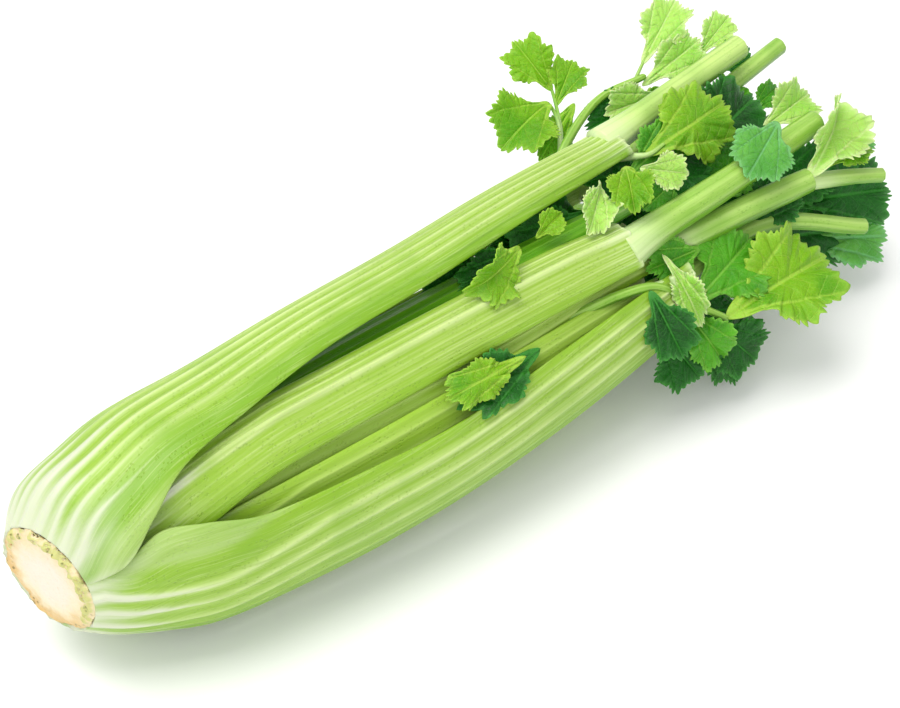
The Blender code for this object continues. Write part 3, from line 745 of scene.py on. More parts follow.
    def band_shift(self, values: np.ndarray) -> np.ndarray:
        """How far the ribbed band's middle lies from the face's, in metres, at each ring.

        The ribs run straight from the base to STRAIGHT_TO, though the face's own middle swings.
        """
        x, angle, radius = values[:, 0], values[:, 1], values[:, 2]
        order = (x[0], self.STRAIGHT_TO)
        straight = np.interp(x, order, np.interp(order, x, angle))
        return np.where(x < self.STRAIGHT_TO, radius * np.radians(straight - angle), 0)

    def build(self) -> None:
        """Build and dress the stalk."""
        values, share = self.sections()
        columns = self.fineness.value[1]
        across = np.sin(np.linspace(-1, 1, columns) * math.pi / 2)
        across = 0.55 * across + 0.45 * np.linspace(-1, 1, columns)
        face = self.outer_face(values, across)
        along_way = np.gradient(face, axis=0)
        over_way = np.gradient(face, axis=1)
        normal = unit(np.cross(over_way, along_way))
        spread, way = np.broadcast_arrays(across[None, :], share[:, None])
        x = face[..., 0]
        width = values[:, 3][:, None]
        off_middle = spread * width / 2 - self.band_shift(values)[:, None]
        spot = off_middle / np.minimum(width, self.rib_band) * 2
        rise, crest, shaded_flank, wing = self.rib_pattern(spread, spot, way, x)

        run = run_of(face[:, columns // 2])
        left = (run[-1] - run)[:, None] + 0 * spread
        swell = self.SWELL * (1 - smooth_step(left, 0.002, 0.012))
        lip = np.sqrt(np.clip(1 - np.clip(1 - left / self.LIP, 0, 1) ** 2, 0, 1))
        depth = np.interp(share, (0.0, self.THICKEST_AT, 1.0), self.thickness)[:, None]
        depth = depth * (self.EDGE_THICKNESS + (1 - self.EDGE_THICKNESS) * np.cos(spread * math.pi / 2))
        pinch = (1 - np.abs(spread) ** 9) ** (1 / 2.2) * np.maximum(lip, 0.05)
        middle = face - normal * (depth / 2)[..., None]
        half = (depth / 2 * pinch)[..., None]
        grain = rise * np.maximum(lip, 0.05) + swell * pinch
        outer = middle + normal * (half + grain[..., None])
        inner = (middle - normal * half)[:, -2:0:-1]
        rings = np.concatenate([outer, inner], axis=1)

        reach = x - self.white_end + 0.030 * (0.5 - crest) + 0.008 * ripple(spread * 9, 4)
        green = smooth_step(reach, -0.022, 0.026) * (1 - 0.30 * wing)
        tip = (1 - smooth_step(left, 0.0006, 0.0045)) * (0.55 + 0.45 * crest)
        tip = np.maximum(tip, 0.55 * crest * (1 - smooth_step(left, 0.002, 0.022)))
        uv = np.stack([spread * width / 2, run[:, None] + 0 * spread], axis=-1)
        none = np.zeros_like(inner[..., 0])
        fields = {
            "crest": np.concatenate([crest, none + 0.25], axis=1),
            "green": np.concatenate([green, green[:, -2:0:-1]], axis=1),
            "shaded_flank": np.concatenate([shaded_flank, none], axis=1),
            "tip": np.concatenate([tip, tip[:, -2:0:-1]], axis=1),
        }
        uv = np.concatenate([uv, uv[:, -2:0:-1]], axis=1)
        closed = self.close(rings, columns, uv, fields)
        closed.piece(SKINS[self.skin.name], self.skin.slot, (self.node,))

    def close(
        self, rings: np.ndarray, columns: int, uv: np.ndarray, fields: dict[str, np.ndarray]
    ) -> Skin:
        """The rings as a closed surface: each end is a strip from the outer face to the inner one."""
        rows, around = rings.shape[:2]
        outer = np.arange(columns)
        inner = (-outer) % around
        inner[-1] = columns - 1
        strip = np.stack([outer[:-1], inner[:-1], inner[1:], outer[1:]], axis=-1)
        back = (rows - 1) * around + strip[:, ::-1]
        faces = quads(rows, around).tolist()
        faces += [tuple(dict.fromkeys(face)) for face in np.concatenate([strip, back]).tolist()]
        return Skin(self.node + "_skin", rings, faces, "skin", uv, fields)


# ---- Stems -------------------------------------------------------


@dataclass
class Stem:
    """A smooth upper stem or a leaf's own stalk: a round tube along a curve."""

    name: str
    radii: tuple[float, float]
    route: tuple[Point, ...]
    node: str = ""
    cut: bool = True
    ease: float = 1.0
    # How pale the painted highlight on a stem's lit side is.
    pale: float = 0.45
    ribs: int = 7
    rib_height: float = 0.00018
    rings: int = 70
    columns: int = 48

    def skin(self) -> Skin:
        """The stem as rings round its curve, with a crisp, slightly hollow cut at its far end.

        Each ring is a circle that carries low ribs. Its radius falls from the first radius to the
        last with what is left of the way, raised to the power `ease`.
        """
        route = np.array(self.route)
        place = np.linspace(0, len(route) - 1, self.rings)
        centre = smooth_rows(route, place)
        tangent = unit(np.gradient(centre, axis=0))
        side = unit(np.cross(tangent, np.array((0.0, 0.15, 1.0))))
        top = np.cross(side, tangent)
        share = place / place[-1]
        angle = np.linspace(0, 2 * math.pi, self.columns, endpoint=False)
        seed = sum(map(ord, self.name))
        crest = 0.5 + 0.5 * np.cos(self.ribs * angle + 1.5 * ripple(share * 3, seed)[:, None])
        crest = crest**2
        radius = (self.radii[1] + (self.radii[0] - self.radii[1]) * (1 - share) ** self.ease)[:, None]
        radius = radius * (1 + 0.03 * ripple(share * 6, seed + 1)[:, None])
        radius = radius + min(self.rib_height, 0.06 * self.radii[1]) * (crest - 0.6)
        rings, cap = self.capped(centre, side, top, tangent, radius, angle)
        extra = len(cap)
        run = run_of(centre)
        run = np.concatenate([run, np.full(extra, run[-1])])[:, None]
        around = (angle * self.radii[0])[None, :]
        uv = np.stack(np.broadcast_arrays(around, run), axis=-1)
        crest = np.concatenate([crest, np.repeat(crest[-1:], extra, axis=0)])
        # Painted light: pale on the side that faces the light, painted shade on the side away from it.
        light = np.clip(np.cos(angle - 1.0), 0, 1)[None, :] + 0 * crest
        tip = np.concatenate([np.zeros(self.rings), cap])[:, None] + 0 * crest
        start = smooth_step(run + 0 * crest, 0.0, 0.030)
        fields = {
            "crest": np.clip(0.30 * crest + self.pale * light, 0, 1),
            "green": 0.40 + 0.60 * start,
            "shaded_flank": np.clip(1 - 1.3 * light, 0, 1) * 0.8,
            "tip": tip,
        }
        return closed_tube(self.name, rings, uv, fields)

    def capped(
        self,
        centre: np.ndarray,
        side: np.ndarray,
        top: np.ndarray,
        tangent: np.ndarray,
        radius: np.ndarray,
        angle: np.ndarray,
    ) -> tuple[np.ndarray, np.ndarray]:
        """The wall's rings and the rings over the far end, each a share of the last one's radius.

        Returns:
            All rings, and how much of a cut each ring of the end is.
        """
        wide = np.cos(angle)[None, :, None] * side[:, None, :]
        high = np.sin(angle)[None, :, None] * top[:, None, :]
        spoke = wide + high
        rings = centre[:, None, :] + radius[..., None] * spoke
        if self.cut:
            shares = np.array((0.97, 0.90, 0.70, 0.45, 0.20))
            rises = np.array((0.05, 0.06, 0.00, -0.04, -0.05)) * self.radii[1]
            mark = np.array((0.5, 0.95, 1.0, 1.0, 1.0))
        else:
            shares = np.array((0.8, 0.5, 0.2))
            rises = np.array((0.6, 0.9, 1.1)) * self.radii[1]
            mark = np.zeros(3)
        end = centre[-1] + tangent[-1] * rises[:, None]
        cap = end[:, None, :] + (shares[:, None] * radius[-1])[..., None] * spoke[-1]
        return np.concatenate([rings, cap]), mark

    def build(self) -> None:
        """Build and dress the stem."""
        nodes = (self.node,) if self.node else ()
        self.skin().piece(SKINS[STEM_SKIN.name], STEM_SKIN.slot, nodes)


# ---- Leaves ------------------------------------------------------


@dataclass
class Leaf:
    """One leaflet: five toothed lobes over a wedge-shaped base, folded, arched and ruffled."""

    node: str
    kind: LeafKind
    width: float
    base: Point
    tip: Point
    face: Point
    fold: float
    arch: float
    ruffle: float = 0.045
    twist: float = 0.0
    roll: float = 0.0
    lobing: float = 1.0
    teeth: int = 26
    seed: int = 1
    stalk_from: Point | None = None
    stalk_radius: float = 0.0011
    extra: bool = False

    ROWS = 18
    COLUMNS = 240
    MIDDLE = 0.55
    THICKNESS = 0.00032
    # Where the three kinds of lobe point, in degrees from the tip.
    LOBES = (1.0, 46.0, 92.0)
    # Side veins per leaf length, how far each leans to the tip, and the height of the quilting.
    SIDE_VEINS = 8.5
    VEIN_LEAN = 0.85
    QUILTING = 0.004
    # Depth and half width of the groove over a main vein, in leaf lengths.
    GROOVE = 0.012
    GROOVE_WIDTH = 0.03
    # Size of the teeth as a share of the reach, and how much a whole saw wave leans.
    TOOTH = 0.17
    TOOTH_LEAN = 0.34

    def outline(self, angle: np.ndarray) -> np.ndarray:
        """Reach of the blade from its middle at each angle from the tip, in leaf lengths.

        A round middle carries bells for the tip, the two pairs of side lobes and the wedge of the
        base. Saw teeth that lean towards the tip stand on all of it but the base.
        """
        turn = np.degrees(np.abs(angle))
        side = np.sign(angle)
        wobble = 4 * ripple(angle * 2 + side, self.seed)
        turn = np.clip(turn + wobble * np.sin(np.radians(turn)), 0, 180)

        def bell(middle: float, spread: float) -> np.ndarray:
            """A bell over the turn from the tip."""
            return np.exp(-(((turn - middle) / spread) ** 2))

        reach = 0.36 + 0.10 * bell(0, 20) + self.lobing * 0.11 * bell(46, 15)
        reach += self.lobing * 0.06 * bell(92, 16) + 0.19 * bell(180, 13) - 0.05 * bell(148, 16)
        saw = np.mod(1.25 * self.teeth * (turn + 2 * wobble) / 360 + 0.25, 1)
        tooth = np.minimum(saw / self.TOOTH_LEAN, (1 - saw) / (1 - self.TOOTH_LEAN)) ** 0.7
        size = 0.80 + 0.45 * ripple(angle * 5, self.seed + 1)
        edge = self.TOOTH * size * (tooth - 0.6) * (1 - smooth_step(turn, 125, 146))
        return reach * (1 + edge)

    def frame(self) -> tuple[np.ndarray, np.ndarray, np.ndarray, float]:
        """The blade's own directions, along, across and off it, and its length."""
        base, tip = np.array(self.base), np.array(self.tip)
        length = float(np.linalg.norm(tip - base))
        along = (tip - base) / length
        across = unit(np.cross(np.array(self.face), along))
        return along, across, np.cross(along, across), length

    def veins(self, forward: np.ndarray, over: np.ndarray, ends: np.ndarray) -> np.ndarray:
        """Distances along and off the nearest main vein. Each runs from the base to a lobe's end."""
        lean = np.arctan2(ends[:, 1], ends[:, 0])
        run = forward[..., None] * np.cos(lean) + np.abs(over)[..., None] * np.sin(lean)
        off = np.abs(np.abs(over)[..., None] * np.cos(lean) - forward[..., None] * np.sin(lean))
        nearest = np.argmin(off + 0.3 * (run < 0), axis=-1)[..., None]
        pick = [np.take_along_axis(value, nearest, axis=-1)[..., 0] for value in (run, off)]
        return np.stack(pick, axis=-1)

    def lift(
        self,
        spin: np.ndarray,
        share: np.ndarray,
        forward: np.ndarray,
        over: np.ndarray,
        uv: np.ndarray,
    ) -> np.ndarray:
        """How far the blade stands off its plane, in leaf lengths.

        That is its fold times the distance from the midrib, an arch over its length, seeded ruffles
        that grow towards the edge, quilting between side veins and a groove over each main vein.

        Args:
            spin: angle of each point round the blade's middle.
            share: share of the way from the middle to the edge.
            forward: distance from the base along the midrib.
            over: distance from the midrib.
            uv: distances along and off the nearest main vein.
        """
        lift = self.fold * np.sqrt(over**2 + 0.0004) + 4 * self.arch * forward * (1 - forward)
        waves = ripple(spin * 3, self.seed + 2) + 0.5 * ripple(spin * 8, self.seed + 3)
        lift += self.ruffle * share**2 * waves
        along, off = uv[..., 0], uv[..., 1]
        quilt = np.cos((along - self.VEIN_LEAN * off) * self.SIDE_VEINS * 2 * math.pi)
        lift -= self.QUILTING * quilt * smooth_step(off, 0.0, 0.08)
        return lift - self.GROOVE * np.exp(-((off / self.GROOVE_WIDTH) ** 2))

    def blade(self) -> Skin:
        """The blade as a fan of rings from its middle out to the toothed edge."""
        angle = np.linspace(-math.pi, math.pi, self.COLUMNS, endpoint=False)
        share = (np.arange(1, self.ROWS + 1) / self.ROWS)[:, None]
        reach = self.outline(angle)[None, :] * share
        forward = self.MIDDLE + reach * np.cos(angle)
        over = reach * np.sin(angle)
        along, across, off, length = self.frame()
        stretch = self.width / length / (2 * np.abs(over).max())
        over = over * stretch
        lobes = np.radians(self.LOBES)
        reach_out = self.outline(lobes)
        lobe_forward = self.MIDDLE + reach_out * np.cos(lobes)
        lobe_over = reach_out * np.sin(lobes) * stretch
        uv = self.veins(forward, over, np.stack([lobe_forward, lobe_over], axis=-1))
        lift = self.lift(np.broadcast_to(angle, reach.shape), share, forward, over, uv)
        if self.roll:
            lift = lift + (1 - np.cos(self.roll * over)) / self.roll
            over = np.sin(self.roll * over) / self.roll
        swing = self.twist * forward
        steps = np.stack([
            forward,
            over * np.cos(swing) - lift * np.sin(swing),
            over * np.sin(swing) + lift * np.cos(swing),
        ], axis=-1) * length
        points = np.array(self.base) + steps @ np.stack([along, across, off])
        middle = points[0].mean(axis=0)
        count = points.shape[0] * points.shape[1]
        here = np.arange(self.COLUMNS)
        fan = np.stack([np.full(self.COLUMNS, count), here, (here + 1) % self.COLUMNS], axis=-1)
        faces = quads(self.ROWS, self.COLUMNS)[:, ::-1].tolist() + fan.tolist()
        rim = share**10 + 0 * reach
        fields = {"rim": np.append(rim.ravel(), 0.0)}
        maps = np.concatenate([uv.reshape(-1, 2), [(self.MIDDLE, 0.0)]])
        points = np.concatenate([points.reshape(-1, 3), middle[None, :]])
        return Skin(self.node + "_blade", points, faces, "vein", maps, fields)

    def build(self) -> None:
        """Build the blade with its thickness, and its own stalk if it has one."""
        nodes = () if self.extra else (self.node,)
        finish = self.kind.value
        made = self.blade().piece(LEAF_MATERIALS[finish.name], finish.slot, nodes)
        wall = made.modifiers.new("thickness", "SOLIDIFY")
        wall.thickness = self.THICKNESS
        wall.offset = 0.0
        if self.stalk_from is not None:
            self.stalk().build()

    def stalk(self) -> Stem:
        """The leaf's own thin stalk, which runs on into the blade as the foot of its midrib."""
        along, _, off, length = self.frame()
        base, start = np.array(self.base), np.array(self.stalk_from)
        reach = float(np.linalg.norm(base - start))
        elbow = (start + base) / 2 + off * 0.06 * reach - along * 0.08 * reach
        foot = base + along * 0.16 * length + off * self.arch * 0.5 * length
        route = tuple(tuple(map(float, point)) for point in (start, elbow, base, foot))
        radii = (self.stalk_radius, 0.42 * self.stalk_radius)
        name = self.node + "_leafstalk"
        return Stem(name, radii, route, cut=False, pale=0.25, ribs=5, rings=30, columns=14)


# ---- The pieces of this head -------------------------------------



def inner_stalk(
    node: str,
    skin: SkinFinish,
    thickness: Point,
    angle: tuple[float, ...],
    end_x: tuple[float, ...],
    radius: tuple[float, ...],
    width: tuple[float, ...],
    curl: tuple[float, ...],
    fineness: Fineness = Fineness.SHOWN,
) -> Stalk:
    """A stalk of the third layer. They all leave the crown alike.

    Args:
        node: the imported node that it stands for.
        skin: its finish.
        thickness: at its base, where it is thickest and at its end.
        angle: of each station.
        end_x: x of its last two stations.
        radius: of each station past the second.
        width: of each station past the second.
        curl: of each station past the fourth.
        fineness: of its grid.

    Returns:
        The stalk.
    """
    columns = zip(
        (-0.1720, -0.1630, -0.1500, -0.1300, -0.1000, -0.0500, 0.0000, *end_x),
        angle,
        (0.0122, 0.0162, *radius),
        (0.0112, 0.0145, *width),
        (52, 51, 50, 50, *curl),
        strict=True,
    )
    stations = tuple(Station(*row, 0) for row in columns)
    return Stalk(node, skin, thickness, stations, 5, 0.0004, -0.165, fineness=fineness)


def heart_stalk(node: str, angle: float, end_x: tuple[float, ...]) -> Stalk:
    """A stalk of the heart. The three differ in where they stand and where they end."""
    columns = zip(
        (-0.1660, -0.1560, -0.1350, -0.0900, -0.0300, *end_x),
        (0.0080, 0.0108, 0.0145, 0.0180, 0.0195, 0.0190, 0.0180),
        (0.0115, 0.0140, 0.0165, 0.0180, 0.0180, 0.0150, 0.0110),
        (84, 76, 70, 66, 70, 76, 90),
        strict=True,
    )
    stations = tuple(Station(x, angle, radius, width, curl, 0) for x, radius, width, curl in columns)
    thickness = (0.0022, 0.0036, 0.0032)
    return Stalk(node, HEART_SKIN, thickness, stations, 3, 0.0003, -0.165, fineness=Fineness.INSIDE)


STALKS: tuple[Stalk, ...] = (
    Stalk("outer_stalk_top", OUTER_SKIN, (0.0045, 0.0068, 0.0060), (
        Station(-0.1862, 80, 0.0218, 0.0525, 138, 0),
        Station(-0.1780, 80, 0.0335, 0.0715, 124, 0),
        Station(-0.1620, 77, 0.0390, 0.0670, 100, 0),
        Station(-0.1420, 74, 0.0440, 0.0590, 81, 0),
        Station(-0.1100, 72, 0.0455, 0.0500, 75, 0),
        Station(-0.0700, 70, 0.0485, 0.0410, 75, 2),
        Station(-0.0200, 68, 0.0500, 0.0360, 78, 6),
        Station(0.0300, 64, 0.0520, 0.0320, 80, 12),
        Station(0.0900, 58, 0.0515, 0.0240, 80, 22),
    ), ribs=8, rib_height=0.0009, white_end=-0.170, rib_band=0.052, reach_back=0.0033),
    # The front stalk is painted darker as shade from a little above the middle of its face to its lower
    # edge.
    Stalk("outer_stalk_front", OUTER_SKIN, (0.0045, 0.0068, 0.0058), (
        Station(-0.1862, 207, 0.0218, 0.0415, 109, 0),
        Station(-0.1780, 204, 0.0292, 0.0565, 111, 0),
        Station(-0.1620, 191, 0.0358, 0.0660, 106, 0),
        Station(-0.1450, 188, 0.0410, 0.0630, 92, -1),
        Station(-0.1200, 190, 0.0439, 0.0560, 82, -2),
        Station(-0.0800, 189, 0.0464, 0.0507, 83, -4),
        Station(-0.0350, 186.5, 0.0466, 0.0450, 86, -4),
        Station(0.0200, 179.5, 0.0426, 0.0400, 88, -4.5),
        Station(0.0830, 170, 0.0348, 0.0300, 88, -3),
    ), ribs=6, rib_height=0.0009, white_end=-0.172, shaded_flank_from=-0.30, rib_band=0.050,
        reach_back=0.0033),
    Stalk("outer_stalk_under", OUTER_SKIN, (0.0045, 0.0066, 0.0056), (
        Station(-0.1862, 316, 0.0218, 0.0388, 102, 0),
        Station(-0.1780, 314, 0.0285, 0.0500, 100, 0),
        Station(-0.1620, 305, 0.0350, 0.0600, 98, 0),
        Station(-0.1450, 298, 0.0390, 0.0590, 86, 0),
        Station(-0.1200, 298, 0.0427, 0.0440, 70, 0),
        Station(-0.0800, 298, 0.0462, 0.0380, 72, -4),
        Station(-0.0350, 297, 0.0470, 0.0350, 74, -6),
        Station(0.0200, 297, 0.0470, 0.0320, 76, -6),
        Station(0.0850, 297, 0.0450, 0.0270, 80, -6),
    ), ribs=8, rib_height=0.0007, white_end=-0.172, rib_band=0.050, reach_back=0.0033),
    Stalk("middle_stalk_front", MIDDLE_SKIN, (0.0036, 0.0060, 0.0055), (
        Station(-0.1785, 130, 0.0172, 0.0240, 80, 0),
        Station(-0.1700, 129, 0.0230, 0.0300, 74, 0),
        Station(-0.1580, 127, 0.0280, 0.0330, 68, 0),
        Station(-0.1400, 121, 0.0335, 0.0320, 62, 0),
        Station(-0.1100, 116, 0.0368, 0.0290, 62, 0),
        Station(-0.0700, 115, 0.0375, 0.0275, 66, 0),
        Station(-0.0200, 114, 0.0375, 0.0270, 70, 0),
        Station(0.0300, 114, 0.0375, 0.0260, 74, 0),
        Station(0.0620, 116, 0.0370, 0.0230, 80, 0),
    ), ribs=7, rib_height=0.0005, white_end=-0.155, keel=0.0030, keel_at=-0.20, plain_from=-0.08),
    Stalk("middle_stalk_under", MIDDLE_SKIN, (0.0036, 0.0058, 0.0052), (
        Station(-0.1785, 232, 0.0172, 0.0240, 80, 0),
        Station(-0.1700, 236, 0.0215, 0.0285, 76, 0),
        Station(-0.1580, 240, 0.0265, 0.0320, 70, 0),
        Station(-0.1420, 243, 0.0320, 0.0345, 66, 0),
        Station(-0.1200, 248, 0.0385, 0.0310, 64, 2),
        Station(-0.0850, 251, 0.0432, 0.0285, 68, 3),
        Station(-0.0350, 253, 0.0453, 0.0275, 72, 4),
        Station(0.0050, 255, 0.0448, 0.0260, 76, 3),
        Station(0.0450, 257, 0.0430, 0.0220, 80, 2),
    ), ribs=6, rib_height=0.0005, white_end=-0.150),
    Stalk("middle_stalk_back_low", MIDDLE_SKIN, (0.0036, 0.0058, 0.0052), (
        Station(-0.1785, 316, 0.0172, 0.0240, 80, 0),
        Station(-0.1700, 320, 0.0218, 0.0285, 74, 0),
        Station(-0.1580, 328, 0.0268, 0.0285, 61, 0),
        Station(-0.1420, 337, 0.0322, 0.0280, 58, 0),
        Station(-0.1200, 342, 0.0385, 0.0290, 60, 0),
        Station(-0.0850, 341, 0.0430, 0.0300, 68, 0),
        Station(-0.0350, 338, 0.0455, 0.0315, 72, 0),
        Station(0.0200, 338, 0.0455, 0.0290, 76, 0),
        Station(0.0900, 338, 0.0440, 0.0240, 80, 0),
    ), ribs=6, rib_height=0.0005, white_end=-0.150),
    Stalk("middle_stalk_back_high", MIDDLE_SKIN, (0.0036, 0.0058, 0.0052), (
        Station(-0.1785, 42, 0.0172, 0.0240, 80, 0),
        Station(-0.1700, 38, 0.0225, 0.0280, 71, 0),
        Station(-0.1580, 33, 0.0275, 0.0290, 60, 0),
        Station(-0.1420, 29, 0.0330, 0.0265, 52, 0),
        Station(-0.1200, 26, 0.0390, 0.0275, 56, 0),
        Station(-0.0850, 23, 0.0430, 0.0285, 66, 0),
        Station(-0.0350, 20, 0.0445, 0.0285, 72, 0),
        Station(0.0200, 20, 0.0445, 0.0270, 76, 0),
        Station(0.0850, 20, 0.0430, 0.0230, 80, 0),
    ), ribs=6, rib_height=0.0005, white_end=-0.150),
    inner_stalk("inner_stalk_upper_front", INNER_SKIN, (0.0028, 0.0048, 0.0042),
                (135, 134, 132, 132, 132, 132, 131, 128, 130), (0.0500, 0.0850),
                (0.0200, 0.0255, 0.0290, 0.0310, 0.0305, 0.0270, 0.0230),
                (0.0175, 0.0215, 0.0240, 0.0240, 0.0220, 0.0160, 0.0120), (52, 54, 60, 70, 90)),
    inner_stalk("inner_stalk_front", INNER_SKIN, (0.0028, 0.0050, 0.0044),
                (195, 193, 184, 174, 171, 169, 167, 165, 165), (0.0400, 0.0720),
                (0.0225, 0.0290, 0.0338, 0.0350, 0.0335, 0.0305, 0.0250),
                (0.0200, 0.0260, 0.0300, 0.0300, 0.0280, 0.0240, 0.0140), (51, 53, 58, 66, 80)),
    inner_stalk("inner_stalk_top", SHADED_GAP_SKIN, (0.0028, 0.0050, 0.0044),
                (75, 75, 76, 78, 79, 80, 80, 80, 80), (0.0450, 0.0800),
                (0.0205, 0.0250, 0.0285, 0.0310, 0.0320, 0.0320, 0.0310),
                (0.0180, 0.0205, 0.0220, 0.0220, 0.0210, 0.0180, 0.0130), (50, 55, 60, 70, 90)),
    inner_stalk("inner_stalk_back", INNER_SKIN, (0.0028, 0.0050, 0.0044),
                (15, 15, 16, 18, 20, 22, 22, 22, 22), (0.0500, 0.0900),
                (0.0200, 0.0240, 0.0275, 0.0300, 0.0305, 0.0300, 0.0290),
                (0.0175, 0.0200, 0.0215, 0.0220, 0.0210, 0.0180, 0.0130),
                (50, 55, 60, 70, 90), Fineness.INSIDE),
    inner_stalk("inner_stalk_under_front", INNER_SKIN, (0.0028, 0.0050, 0.0044),
                (255, 253, 248, 240, 232, 226, 226, 226, 226), (0.0500, 0.0800),
                (0.0200, 0.0245, 0.0285, 0.0310, 0.0315, 0.0310, 0.0300),
                (0.0175, 0.0205, 0.0220, 0.0225, 0.0215, 0.0185, 0.0140),
                (50, 55, 60, 70, 90), Fineness.INSIDE),
    inner_stalk("inner_stalk_under_back", INNER_SKIN, (0.0028, 0.0050, 0.0044),
                (315, 315, 314, 310, 306, 302, 302, 302, 302), (0.0500, 0.0850),
                (0.0200, 0.0240, 0.0275, 0.0310, 0.0315, 0.0310, 0.0300),
                (0.0175, 0.0200, 0.0220, 0.0225, 0.0215, 0.0185, 0.0140),
                (50, 55, 60, 70, 90), Fineness.INSIDE),
    heart_stalk("heart_stalk_front", 148, (0.0300, 0.0700)),
    heart_stalk("heart_stalk_top", 50, (0.0400, 0.0800)),
    heart_stalk("heart_stalk_under", 268, (0.0200, 0.0600)),
)

STEMS: tuple[Stem, ...] = (
    Stem("upper_stem_top_skin", (0.0072, 0.0051), (
        (0.0830, 0.0285, 0.0842), (0.1000, 0.0305, 0.0850), (0.1280, 0.0345, 0.0862),
        (0.1660, 0.0400, 0.0872)), node="upper_stem_top", ease=1.8, pale=1.0),
    Stem("upper_stem_front_skin", (0.0082, 0.0050), (
        (0.0585, -0.0150, 0.0722), (0.0750, -0.0135, 0.0738), (0.1150, -0.0105, 0.0748),
        (0.1670, -0.0050, 0.0760)), node="upper_stem_front", ease=1.4, pale=0.30),
    Stem("upper_stem_back_skin", (0.0044, 0.0036), (
        (0.0800, 0.0380, 0.0565), (0.1400, 0.0360, 0.0690), (0.1920, 0.0420, 0.0750)),
         node="upper_stem_back"),
    Stem("upper_stem_back_low_skin", (0.0050, 0.0040), (
        (0.0850, 0.0390, 0.0285), (0.1250, 0.0370, 0.0330), (0.1560, 0.0390, 0.0380)),
         node="upper_stem_back_low"),
    Stem("upper_stem_under_skin", (0.0048, 0.0038), (
        (0.0800, 0.0195, 0.0065), (0.1200, 0.0170, 0.0120), (0.1500, 0.0140, 0.0180)),
         node="upper_stem_under"),
    Stem("inner_stem_front_skin", (0.0056, 0.0050), (
        (0.0780, -0.0130, 0.0600), (0.1200, -0.0160, 0.0620), (0.1520, -0.0186, 0.0627)),
         node="inner_stem_front"),
    Stem("inner_stem_cut_end_skin", (0.0034, 0.0030), (
        (0.1500, -0.0188, 0.0625), (0.1700, -0.0235, 0.0585), (0.1854, -0.0271, 0.0540)),
         node="inner_stem_cut_end"),
    Stem("inner_stem_low_skin", (0.0040, 0.0032), (
        (0.0680, -0.0245, 0.0490), (0.1280, -0.0170, 0.0500), (0.1735, -0.0320, 0.0365)),
         node="inner_stem_low"),
    Stem("leaf_stalk_front_skin", (0.0023, 0.0014), (
        (0.0000, -0.0200, 0.0560), (0.0250, -0.0210, 0.0600), (0.0480, -0.0245, 0.0625),
        (0.0640, -0.0285, 0.0610), (0.0740, -0.0350, 0.0530), (0.0880, -0.0425, 0.0420)),
         node="leaf_stalk_front", cut=False, pale=0.22),
    Stem("leaf_stalk_back_skin", (0.0022, 0.0014), (
        (0.0700, 0.0440, 0.0560), (0.0900, 0.0560, 0.0650), (0.1130, 0.0640, 0.0710),
        (0.1330, 0.0600, 0.0755)), node="leaf_stalk_back", cut=False, pale=0.22),
    Stem("leaf_stalk_branch", (0.0016, 0.0010), (
        (0.0600, -0.0275, 0.0615), (0.0700, -0.0275, 0.0600), (0.0800, -0.0260, 0.0580)),
         cut=False, pale=0.22),
)

TO_FRONT: Point = (-0.45, -0.58, 0.68)
TO_LOW_FRONT: Point = (-0.30, -0.80, 0.50)
TO_BACK: Point = (0.10, 0.70, 0.70)
BRIGHT, MID, DARK, BLUISH, PALE = LeafKind


def shade(
    name: str, width: float, base: Point, tip: Point, seed: int, face: Point = TO_FRONT
) -> Leaf:
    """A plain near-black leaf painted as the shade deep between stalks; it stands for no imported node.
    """
    return Leaf(name, DARK, width, base, tip, face, 0.10, 0.05, seed=seed, extra=True)


